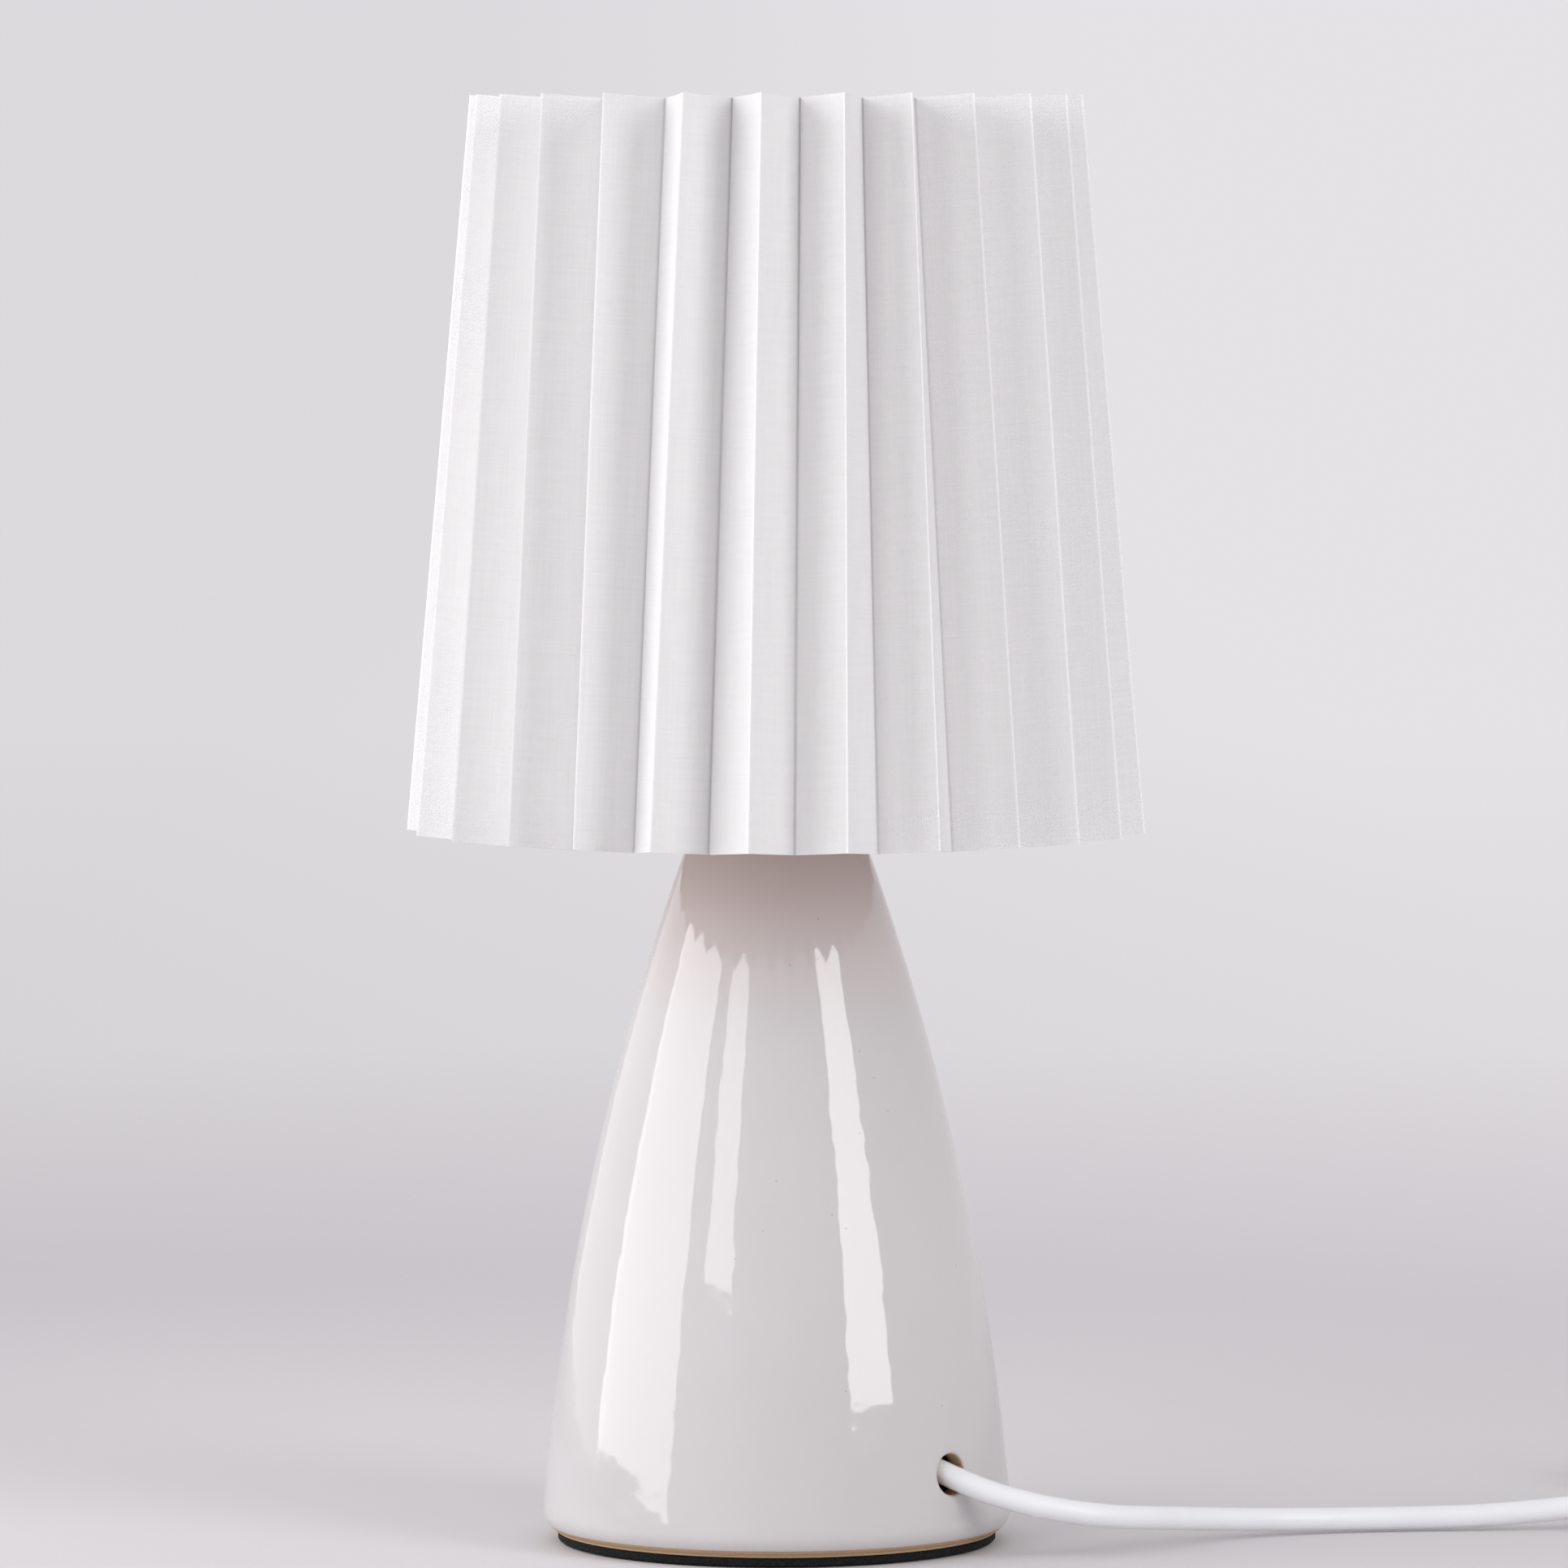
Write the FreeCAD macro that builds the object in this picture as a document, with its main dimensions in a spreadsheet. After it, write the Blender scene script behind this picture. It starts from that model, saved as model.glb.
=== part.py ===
import FreeCAD, Part
import math
import os
from types import SimpleNamespace

import Sketcher
from FreeCAD import Placement, Rotation, Vector

# A table lamp with a hollow ceramic base and a pleated drum shade. Millimetres, +Z up. The origin is the
# centre of the foot pad's underside, and the front of the lamp faces -Y.

doc = FreeCAD.newDocument("TableLamp")
sheet = doc.addObject("Spreadsheet::Sheet", "Sizes")

# name, size, what it is
SIZES = [
    # ceramic base
    ("base_height", 157.0, "top of the neck above the surface"),
    ("foot_radius", 51.9, "outside of the base where its side begins"),
    ("neck_radius", 19.0, "outside of the neck at its top, before rounding"),
    ("side_radius", 572.0, "radius of the long arc of the side"),
    ("side_start", 8.0, "height at which the side begins"),
    ("foot_arc", 6.0, "radius of the rounding above the foot ring"),
    ("foot_ring_radius", 49.0, "outside of the unglazed foot ring"),
    ("foot_ring_height", 0.5, "height of the unglazed foot ring"),
    ("foot_ring_width", 5.0, "width of the foot ring"),
    ("neck_round", 4.0, "rounding of the neck's shoulder"),
    ("wall", 4.0, "ceramic wall"),
    ("top_wall", 6.0, "ceramic wall under the lampholder"),
    ("pad_radius", 48.6, "foam foot pad"),
    ("pad_thick", 2.0, "foam foot pad"),
    ("pad_chamfer", 0.4, "edge of the foot pad"),
    # cord outlet
    ("outlet_radius", 4.5, "cord hole in the ceramic"),
    ("outlet_height", 18.3, "cord hole's centre above the surface"),
    ("outlet_turn", 49.0, "degrees from the front of the lamp to the cord hole"),
    ("outlet_round", 0.8, "rounding of the cord hole's mouth"),
    ("cord_radius", 2.6, "round two-core cord"),
    # nipple and its nut
    ("nipple_radius", 4.95, "M10 threaded tube"),
    ("nipple_bore", 3.9, "bore radius of the threaded tube"),
    ("nipple_length", 21.5, "threaded tube"),
    ("nipple_rise", 6.5, "threaded tube above the ceramic"),
    ("nipple_gap", 0.2, "radial clearance round the threaded tube"),
    ("washer_radius", 15.0, "washer under the lampholder"),
    ("washer_thick", 1.2, "both washers"),
    ("lower_washer_radius", 12.0, "washer inside the base"),
    ("nut_flats", 14.0, "hexagon nut, across flats"),
    ("nut_height", 4.0, "hexagon nut"),
    # lampholder
    ("cap_height", 20.0, "lower cap of the lampholder"),
    ("cap_foot_radius", 14.0, "lower cap at its foot"),
    ("cap_radius", 21.0, "lower cap at its top"),
    ("cap_wall", 2.4, "lower cap's wall"),
    ("cap_floor", 3.0, "lower cap's floor"),
    ("cap_shoulder", 7.0, "height of the cap's straight band"),
    ("cap_arc", 22.0, "radius of the lower cap's flared side"),
    ("shoulder_radius", 23.5, "flange that carries the shade"),
    ("shoulder_thick", 2.5, "flange that carries the shade"),
    ("sleeve_radius", 19.6, "threaded outside of the lampholder"),
    ("sleeve_height", 36.0, "upper part of the lampholder"),
    ("sleeve_bore", 14.8, "mouth of the lampholder"),
    ("sleeve_chamfer", 0.8, "edge of the lampholder's mouth"),
    ("insert_radius", 17.0, "contact block"),
    ("insert_height", 13.0, "contact block"),
    ("insert_depth", 6.0, "contact block below the joint of cap and sleeve"),
    ("insert_step", 3.0, "contact block narrower by this inside the cap"),
    ("insert_gap", 0.3, "clearance round the contact block"),
    ("thread_sleeve_radius", 14.4, "brass threaded contact, outside"),
    ("thread_sleeve_wall", 0.5, "brass threaded contact, wall"),
    ("thread_sleeve_height", 18.0, "brass threaded contact"),
    ("contact_rise", 3.4, "height of the sprung centre contact"),
    ("leaf_reach", 9.0, "half length of the sprung centre contact"),
    ("leaf_width", 6.0, "sprung centre contact"),
    ("leaf_clear", 1.0, "between the two brass contacts"),
    ("screw_head", 2.4, "terminal screw's head radius"),
    ("screw_head_height", 1.6, "terminal screw's head"),
    ("screw_shank", 1.4, "terminal screw's shank radius"),
    ("screw_length", 5.0, "terminal screw under its head"),
    ("screw_clear", 0.1, "clearance round every screw"),
    ("screw_spread", 9.0, "terminal screws from the axis"),
    # shade fitting
    ("fitter_bore", 20.3, "hole of the fitter ring"),
    ("fitter_radius", 27.0, "outside of the fitter ring"),
    ("fitter_thick", 1.2, "pressed sheet of the fitter ring"),
    ("fitter_lip", 4.0, "down-turned edge of the fitter ring"),
    ("seat_gap", 0.2, "between the shade's fitting and what it rests on"),
    ("collar_height", 9.0, "screw collar that holds the shade"),
    ("collar_radius", 25.6, "screw collar's body"),
    ("collar_flange", 28.4, "screw collar's flange"),
    ("collar_flange_thick", 2.0, "screw collar's flange"),
    ("collar_gap", 0.35, "radial clearance of the screw collar on its thread"),
    ("rib_count", 20, "grip ribs of the screw collar"),
    ("rib_depth", 1.2, "grip ribs stand proud by this"),
    ("rib_width", 2.4, "grip ribs"),
    # pleated shade
    ("shade_bottom", 157.7, "ridge tips at the lower rim"),
    ("shade_height", 162.3, "between the ridge tips"),
    ("ridge_low", 81.9, "radius of the outer folds at the lower rim"),
    ("ridge_high", 67.7, "radius of the outer folds at the upper rim"),
    ("fold_depth", 11.9, "from the outer folds to the inner folds"),
    ("pleat_count", 25, "pleats"),
    ("pleat_phase", -93.7, "direction of the pleat nearest the front, from +X"),
    ("sheet_thick", 0.8, "laminated fabric sheet"),
    ("rim_margin", 2.0, "sheet beyond the rims before they are cut"),
    ("rim_lean", 4.9, "degrees by which the rims slope down towards the axis"),
    ("lower_wire", 1.25, "radius of the lower ring's wire and the arms"),
    ("upper_wire", 1.0, "radius of the upper ring's wire"),
    ("wire_gap", 0.2, "from a wire ring to the inner folds"),
    ("ring_inset", 5.0, "wire rings from the rims"),
    ("arm_count", 3, "arms of the shade's frame"),
    ("arm_phase", 90.0, "direction of the first arm, from +X"),
    # bulb
    ("tip_gap", 0.2, "bulb's tip above the centre contact"),
    ("tip_radius", 4.8, "bulb's end contact"),
    ("tip_height", 1.8, "bulb's end contact"),
    ("insulator_height", 4.5, "black insulator of the bulb's cap"),
    ("screw_cap_radius", 13.1, "bulb's screw cap"),
    ("screw_cap_height", 19.0, "bulb's screw cap"),
    ("screw_cap_wall", 0.6, "bulb's screw cap"),
    ("housing_height", 28.0, "bulb's driver housing"),
    ("housing_radius", 18.0, "bulb's driver housing at its top"),
    ("housing_arc", 94.0, "radius of the driver housing's side"),
    ("bulb_gap", 0.1, "between the bulb's fitted pieces"),
    ("diffuser_height", 50.0, "bulb's candle-shaped diffuser"),
    ("diffuser_wall", 1.0, "bulb's diffuser"),
    ("diffuser_belly", 8.0, "height of the diffuser's widest place"),
    ("diffuser_swell", 0.5, "diffuser's widest place beyond its foot"),
    ("diffuser_arc", 54.0, "radius of the diffuser's side"),
    ("diffuser_tip", 3.4, "radius of the diffuser's rounded tip"),
    ("led_radius", 15.4, "light board"),
    ("led_thick", 1.6, "light board"),
    # switch on the cord
    ("switch_place", 220.0, "switch's centre along X"),
    ("switch_side", 14.2, "switch's centre along Y"),
    ("switch_axis", 6.0, "cord's centre above the surface inside the switch"),
    ("switch_half_length", 30.0, "switch case"),
    ("switch_half_width", 13.0, "switch case"),
    ("switch_corner", 8.0, "switch case's corners in plan"),
    ("switch_height", 14.0, "switch case"),
    ("switch_wall", 2.0, "switch case's floor and roof"),
    ("switch_edge", 2.4, "rounding of the switch case's upper edge"),
    ("switch_room", 16.0, "half length of the switch's cavity"),
    ("case_gap", 0.1, "joint of the two case halves"),
    ("cord_clear", 0.25, "radial clearance of the cord in the switch case"),
    ("rocker_radius", 8.7, "rocker's ends about its pivot"),
    ("rocker_half_width", 5.7, "rocker"),
    ("rocker_gap", 0.4, "clearance round the rocker"),
    ("rocker_tilt", 7.0, "degrees either side of level"),
    ("rocker_drop", 2.6, "pivot below the roof's outside"),
    ("trunnion_radius", 1.2, "rocker's pivot stubs"),
    ("trunnion_length", 2.0, "rocker's pivot stubs"),
    ("trunnion_gap", 0.1, "radial clearance of the pivot stubs"),
    ("case_screw_place", 22.5, "case screws from the centre, along X"),
    ("case_screw_side", 7.6, "case screws from the centre, along Y"),
    ("case_screw_radius", 1.3, "case screw's shank"),
    ("case_screw_head", 2.6, "case screw's head radius"),
    ("case_screw_head_height", 1.4, "case screw's head"),
    ("case_screw_length", 8.0, "case screw under its head"),
    ("case_screw_sink", 0.4, "case screw's head below the floor's outside"),
    ("case_chamfer", 0.8, "lower edge of the switch case"),
    ("rocker_top", 23.0, "degrees from level to the rocker's upper corners"),
    ("rocker_middle", 2.2, "rocker's middle above its pivot"),
    ("rocker_under", 1.6, "rocker below its pivot"),
    ("ear_half", 3.0, "half length of the ears that hold the pivot stubs"),
    ("ear_thick", 2.4, "ears that hold the pivot stubs"),
    ("ear_drop", 2.4, "ears below the pivot"),
    ("contact_strip", 0.8, "thickness of the switch's contact strips"),
    ("contact_broad", 3.0, "switch's contact strips"),
    ("contact_long", 9.0, "switch's contact strips"),
    ("contact_stand", 4.0, "upturned end of the switch's contact strips"),
    ("contact_side", 8.0, "switch's contact strips from the centre, along Y"),
    # plug
    ("plug_face", 206.0, "plug's flat face along X"),
    ("plug_side", 96.0, "plug's centre along Y"),
    ("plug_length", 36.0, "plug's moulded body"),
    ("plug_half_width", 13.0, "plug's moulded body at its face"),
    ("plug_half_thick", 6.85, "plug's moulded body at its face"),
    ("plug_waist", 6.0, "plug's half width at the cord end"),
    ("plug_straight", 11.0, "straight part of the plug's moulded body"),
    ("plug_end_thick", 4.8, "plug's half thickness at the cord end"),
    ("plug_arc", 62.0, "radius of the plug's drawn-in sides"),
    ("plug_corner", 2.4, "rounding of the plug's long edges"),
    ("pin_radius", 2.0, "plug pin"),
    ("pin_length", 19.0, "plug pin"),
    ("pin_spacing", 19.0, "between the pins' axes"),
    ("pin_core", 1.5, "pin under its insulating sleeve"),
    ("pin_hold", 6.0, "pin inside the moulded body"),
    ("pin_round", 1.4, "rounding of the pin's tip"),
    ("pin_sleeve_length", 10.0, "insulating sleeve"),
    ("pin_sleeve_radius", 1.8, "insulating sleeve"),
    ("boot_length", 18.0, "ribbed strain relief"),
    ("boot_radius", 4.6, "ribbed strain relief at the plug"),
    ("boot_end_radius", 3.6, "ribbed strain relief at the cord"),
    ("boot_ribs", 5, "ribs of the strain relief"),
    ("boot_groove", 0.6, "depth of the grooves between the ribs"),
    ("boot_root", 2.0, "strain relief before its first groove"),
    # coil of the spare cord
    ("coil_x", 292.0, "coil's centre"),
    ("coil_radius", 41.0, "cord's centre line in the outermost turn"),
    ("coil_turns", 3.5, "turns in each of the two layers"),
    ("coil_pitch", 5.8, "between neighbouring turns"),
    ("coil_rise", 5.8, "between the two layers"),
    ("coil_dip", 0.9, "inward swing of the half turn that climbs"),
    ("tie_thick", 0.6, "band that ties the coil"),
    ("tie_width", 8.0, "band that ties the coil"),
    ("tie_slack", 0.25, "between the band and the cord"),
    ("tie_lift", 0.05, "band above the surface"),
    ("tie_round", 2.0, "bends of the band"),
    ("tie_turn", 20.0, "direction of the band from the coil's centre, from +X"),
    # small fitting on the cord inside the base
    ("stop_radius", 5.5, "clamp that keeps the cord from being pulled out"),
    ("stop_length", 6.0, "clamp on the cord"),
    ("stop_gap", 4.4, "clamp's front from the ceramic's inner wall"),
    ("stop_clear", 0.05, "clearance of the clamp on the cord"),
    ("lead_gap", 0.36, "end of the cord below the contact block"),
]

# Routes of the cord's free stretches, chosen by hand: from inside the outlet to the switch, from the
# switch to the coil and from the coil to the plug, and the stretch inside the base, which starts under
# the contact block.
CORD_RUN = [(31.9, -29.8, 20.5), (42.5, -34.7, 15.8), (54.6, -36.3, 12.3), (65.4, -34.2, 10.0),
            (75.0, -28.9, 8.4), (82.8, -21.1, 7.2), (90.0, -11.6, 5.8), (99.0, -2.2, 4.4),
            (109.9, 4.9, 3.4), (123.0, 9.9, 2.8), (138.7, 12.9, 2.65), (157.0, 14.3, 2.9),
            (173.0, 14.5, 4.3), (187.0, 14.2, 6.0), (200.0, 14.2, 6.0)]
CORD_LINK = [(240.0, 14.2, 6.0), (253.0, 14.2, 6.0), (272.0, 14.0, 3.5), (286.8, 14.0, 3.5)]
CORD_TAIL = [(286.8, 96.0, 9.3), (279.4, 96.0, 9.3), (267.4, 96.0, 6.85), (260.0, 96.0, 6.85)]
CORD_INSIDE = [(0.5, -0.3, 134.0), (-0.4, -0.2, 96.0), (1.5, -3.6, 72.0), (5.8, -10.4, 54.0),
               (12.2, -17.6, 39.0), (21.0, -24.7, 25.3), (31.9, -29.8, 20.5)]


class Dim:
    """A number that remembers the sheet formula it comes from."""

    def __init__(self, value, text=None):
        self.value = float(value)
        self.text = text or repr(float(value))

    def __add__(self, other):
        return combine(self, "+", other, lambda a, b: a + b)

    def __radd__(self, other):
        return combine(other, "+", self, lambda a, b: a + b)

    def __sub__(self, other):
        return combine(self, "-", other, lambda a, b: a - b)

    def __rsub__(self, other):
        return combine(other, "-", self, lambda a, b: a - b)

    def __mul__(self, other):
        return combine(self, "*", other, lambda a, b: a * b)

    def __rmul__(self, other):
        return combine(other, "*", self, lambda a, b: a * b)

    def __truediv__(self, other):
        return combine(self, "/", other, lambda a, b: a / b)

    def __rtruediv__(self, other):
        return combine(other, "/", self, lambda a, b: a / b)

    def __neg__(self):
        return 0 - self


def dim(number):
    return number if isinstance(number, Dim) else Dim(number)


def combine(left, sign, right, work):
    left, right = dim(left), dim(right)
    return Dim(work(left.value, right.value), f"({left.text} {sign} {right.text})")


def root(number):
    return Dim(math.sqrt(number.value), f"sqrt({number.text})")


def sine(degrees):
    return Dim(math.sin(math.radians(degrees.value)), f"sin({degrees.text})")


def cosine(degrees):
    return Dim(math.cos(math.radians(degrees.value)), f"cos({degrees.text})")


def fill_sheet():
    """Write the sizes into the sheet and return them by name."""
    named = {}
    for row, (name, value, note) in enumerate(SIZES, start=1):
        sheet.set(f"A{row}", name)
        sheet.set(f"B{row}", str(value))
        sheet.set(f"C{row}", note)
        sheet.setAlias(f"B{row}", name)
        named[name] = Dim(value, f"Sizes.{name}")
    doc.recompute()
    return SimpleNamespace(**named)


s = fill_sheet()
nodes = []

# ---------------------------------------------------------------- helpers


def keep(thing, label):
    """Give a finished sub-part its name and put it on the list of nodes."""
    thing.Label = label
    nodes.append(thing)
    return thing


def new_body(label):
    return keep(doc.addObject("PartDesign::Body", label), label)


def new_sketch(body, role, offset=None):
    """A sketch on one of the body's own origin planes, lifted along the plane's normal."""
    plane = next(f for f in body.Origin.OriginFeatures if f.Role == role)
    sketch = body.newObject("Sketcher::SketchObject", "Outline")
    sketch.AttachmentSupport = (plane, [""])
    sketch.MapMode = "FlatFace"
    if offset is not None:
        sketch.setExpression("AttachmentOffset.Base.z", dim(offset).text)
    return sketch


def bound(sketch, kind, *args):
    """Add a constraint whose last argument is a named size or a formula of them."""
    size = dim(args[-1])
    index = sketch.addConstraint(Sketcher.Constraint(kind, *args[:-1], size.value))
    sketch.setExpression(f"Constraints[{index}]", size.text)


def place_point(sketch, geometry, end, x, y):
    """Hold a sketch point at x, y from the sketch's origin."""
    for kind, axis, value in (("DistanceX", -2, dim(x)), ("DistanceY", -1, dim(y))):
        if value.text == "0.0":
            sketch.addConstraint(Sketcher.Constraint("PointOnObject", geometry, end, axis))
        else:
            bound(sketch, kind, -1, 1, geometry, end, value)


def arc_between(start, end, radius):
    """The minor arc from start to end, turning left where radius is positive."""
    chord = end.sub(start)
    reach = math.sqrt(max(radius * radius - chord.Length ** 2 / 4, 0.0))
    side = Vector(-chord.y, chord.x, 0) / chord.Length * math.copysign(reach, radius)
    centre = (start + end) / 2 + side
    first, last = (start, end) if radius > 0 else (end, start)
    angles = [math.atan2(p.y - centre.y, p.x - centre.x) for p in (first, last)]
    if angles[1] < angles[0]:
        angles[1] += 2 * math.pi
    return Part.ArcOfCircle(Part.Circle(centre, Vector(0, 0, 1), abs(radius)), *angles)


def outline(sketch, corners, arcs=None):
    """Close an outline through corners. arcs gives the radius of the arc that leaves a numbered corner,
    positive where it turns left."""
    arcs = {number: dim(radius) for number, radius in (arcs or {}).items()}
    points = [Vector(dim(x).value, dim(y).value, 0) for x, y in corners]
    ends = []
    for number, start in enumerate(points):
        end = points[(number + 1) % len(points)]
        if number in arcs:
            radius = arcs[number]
            geometry = sketch.addGeometry(arc_between(start, end, radius.value), False)
            ends.append((geometry, 1, 2) if radius.value > 0 else (geometry, 2, 1))
            bound(sketch, "Radius", geometry, radius if radius.value > 0 else -radius)
        else:
            geometry = sketch.addGeometry(Part.LineSegment(start, end), False)
            ends.append((geometry, 1, 2))
    for number, (geometry, first, last) in enumerate(ends):
        following = ends[(number + 1) % len(ends)]
        sketch.addConstraint(Sketcher.Constraint("Coincident", geometry, last, following[0], following[1]))
        place_point(sketch, geometry, first, *corners[number])


def circle(sketch, x, y, radius):
    centre = Vector(dim(x).value, dim(y).value, 0)
    geometry = sketch.addGeometry(Part.Circle(centre, Vector(0, 0, 1), dim(radius).value), False)
    bound(sketch, "Radius", geometry, radius)
    place_point(sketch, geometry, 3, x, y)


def rounded(sketch, half_x, half_y, corner, x=0, y=0):
    """A rectangle about x, y with round corners."""
    half_x, half_y, corner = dim(half_x), dim(half_y), dim(corner)
    inner_x, inner_y = half_x - corner, half_y - corner
    corners = [(x - inner_x, y - half_y), (x + inner_x, y - half_y), (x + half_x, y - inner_y),
               (x + half_x, y + inner_y), (x + inner_x, y + half_y), (x - inner_x, y + half_y),
               (x - half_x, y + inner_y), (x - half_x, y - inner_y)]
    outline(sketch, corners, {1: corner, 3: corner, 5: corner, 7: corner})


def box_outline(sketch, half_x, half_y, x=0, y=0):
    half_x, half_y = dim(half_x), dim(half_y)
    outline(sketch, [(x - half_x, y - half_y), (x + half_x, y - half_y),
                     (x + half_x, y + half_y), (x - half_x, y + half_y)])


def feature(body, kind, sketch, **settings):
    """Add a PartDesign feature on a sketch. Settings that are Dims are bound to the sheet."""
    made = body.newObject(f"PartDesign::{kind}", kind)
    made.Profile = sketch
    for name, value in settings.items():
        if isinstance(value, Dim):
            made.setExpression(name, value.text)
        else:
            setattr(made, name, value)
    sketch.Visibility = False
    return made


def turn(body, corners, arcs=None, kind="Revolution"):
    """Revolve or groove an outline of radius and height about Z."""
    sketch = new_sketch(body, "XZ_Plane")
    outline(sketch, corners, arcs)
    made = feature(body, kind, sketch, Angle=360.0)
    made.ReferenceAxis = (sketch, ["V_Axis"])
    return made


def turned(label, corners, arcs=None):
    body = new_body(label)
    turn(body, corners, arcs)
    return body


def cut_checked(body, sketch, **settings):
    """Pocket that has to take material away."""
    doc.recompute()
    before = body.Shape.Volume
    made = feature(body, "Pocket", sketch, **settings)
    doc.recompute()
    if not body.Shape.Volume < before - 1e-3:
        raise RuntimeError(f"{body.Label}: a pocket cuts nothing")
    return made


def edge_names(shape, wanted):
    return [f"Edge{number}" for number, edge in enumerate(shape.Edges, start=1) if wanted(edge)]


def round_edges(body, wanted, radius):
    """Fillet the edges of the body's last feature that wanted() picks."""
    doc.recompute()
    last = body.Tip
    names = edge_names(last.Shape, wanted)
    if not names:
        raise RuntimeError(f"{body.Label}: no edge to round")
    made = body.newObject("PartDesign::Fillet", "Rounding")
    made.Base = (last, names)
    made.setExpression("Radius", dim(radius).text)
    return made


def repeat(body, features, count):
    """Copy features round Z."""
    doc.recompute()
    made = body.newObject("PartDesign::PolarPattern", "Round")
    made.Originals = features
    axis = next(f for f in body.Origin.OriginFeatures if f.Role == "Z_Axis")
    made.Axis = (axis, [""])
    made.Angle = 360.0
    made.setExpression("Occurrences", dim(count).text)
    body.Tip = made
    return made


def height_of(edge, z, reach=0.01):
    return abs(edge.BoundBox.ZMin - z.value) < reach and abs(edge.BoundBox.ZMax - z.value) < reach


# ---------------------------------------------------------------- heights that stack up

inner_top = s.base_height - s.top_wall
nipple_hole = s.nipple_radius + s.nipple_gap
holder_foot = s.base_height + s.washer_thick
cap_top = holder_foot + s.cap_height
insert_foot = cap_top - s.insert_depth
insert_top = insert_foot + s.insert_height
sleeve_top = cap_top + s.sleeve_height
fitter_seat = cap_top + s.shoulder_thick + s.seat_gap
fitter_top = fitter_seat + s.fitter_thick
collar_foot = fitter_top + s.seat_gap
bulb_foot = insert_top + s.contact_rise + s.tip_gap
insulator_foot = bulb_foot + s.tip_height
screw_cap_foot = insulator_foot + s.insulator_height
housing_foot = screw_cap_foot + s.screw_cap_height
diffuser_foot = housing_foot + s.housing_height
shade_top = s.shade_bottom + s.shade_height
pivot_height = s.switch_height - s.rocker_drop
coil_height = s.tie_lift + s.tie_thick + s.tie_slack + s.cord_radius
coil_top = coil_height + s.coil_rise


# ---------------------------------------------------------------- ceramic base

def side_centre():
    """Centre of the side's long arc, from its two ends and its radius."""
    across = s.neck_radius - s.foot_radius
    up = s.base_height - s.side_start
    chord = root(across * across + up * up)
    reach = root(s.side_radius * s.side_radius - chord * chord / 4)
    return ((s.foot_radius + s.neck_radius) / 2 - up / chord * reach,
            (s.side_start + s.base_height) / 2 + across / chord * reach)


def side_at(height, inset=0):
    """Radius of the side at a height, measured inset into the wall."""
    centre_r, centre_z = side_centre()
    radius = s.side_radius - inset
    rise = height - centre_z
    return centre_r + root(radius * radius - rise * rise)


def make_base():
    body = new_body("ceramic_base")
    ring_inner = s.foot_ring_radius - s.foot_ring_width
    turn(body,
         [(ring_inner, s.pad_thick),
          (s.foot_ring_radius, s.pad_thick),
          (s.foot_ring_radius, s.pad_thick + s.foot_ring_height),
          (s.foot_radius, s.side_start),
          (s.neck_radius, s.base_height),
          (nipple_hole, s.base_height),
          (nipple_hole, inner_top),
          (side_at(inner_top, s.wall), inner_top),
          (side_at(s.side_start, s.wall), s.side_start)],
         {2: s.foot_arc, 3: s.side_radius, 7: s.wall - s.side_radius})
    neck = s.neck_radius.value
    round_edges(body, lambda e: height_of(e, s.base_height) and e.BoundBox.XMax > 0.9 * neck, s.neck_round)

    # the cord hole goes through one side of the wall, square to the axis
    sketch = new_sketch(body, "XZ_Plane")
    sketch.AttachmentOffset = Placement(Vector(), Rotation(Vector(0, 1, 0), s.outlet_turn.value))
    sketch.setExpression("AttachmentOffset.Rotation.Angle", s.outlet_turn.text)
    circle(sketch, 0, s.outlet_height, s.outlet_radius)
    cut_checked(body, sketch, Length=s.foot_radius + s.wall, Reversed=True)
    turn_angle = math.radians(s.outlet_turn.value)
    way = Vector(math.sin(turn_angle), -math.cos(turn_angle), 0)
    mouth = way * side_at(s.outlet_height).value + Vector(0, 0, s.outlet_height.value)

    def at_mouth(edge):
        away = edge.CenterOfMass - mouth
        return abs(away.dot(way)) < s.wall.value / 4 and away.Length < s.outlet_radius.value

    round_edges(body, at_mouth, s.outlet_round)


def make_pad():
    edge = s.pad_radius - s.pad_chamfer
    turned("base_pad", [(0, 0), (edge, 0), (s.pad_radius, s.pad_chamfer),
                        (s.pad_radius, s.pad_thick - s.pad_chamfer), (edge, s.pad_thick),
                        (0, s.pad_thick)])


def flat_ring(label, bore, radius, foot, height):
    return turned(label, [(bore, foot), (radius, foot), (radius, foot + height), (bore, foot + height)])


def make_nipple_and_nut():
    top = s.base_height + s.nipple_rise
    flat_ring("threaded_nipple", s.nipple_bore, s.nipple_radius, top - s.nipple_length, s.nipple_length)
    flat_ring("upper_washer", nipple_hole, s.washer_radius, s.base_height, s.washer_thick)
    washer_foot = inner_top - s.washer_thick
    flat_ring("lower_washer", nipple_hole, s.lower_washer_radius, washer_foot, s.washer_thick)

    body = new_body("nipple_nut")
    sketch = new_sketch(body, "XY_Plane", washer_foot - s.nut_height)
    corner = s.nut_flats / math.sqrt(3)
    turns = [math.radians(60 * k) for k in range(6)]
    outline(sketch, [(corner * math.cos(a), corner * math.sin(a)) for a in turns])
    circle(sketch, 0, 0, nipple_hole)
    feature(body, "Pad", sketch, Length=s.nut_height)


# ---------------------------------------------------------------- lampholder

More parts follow.
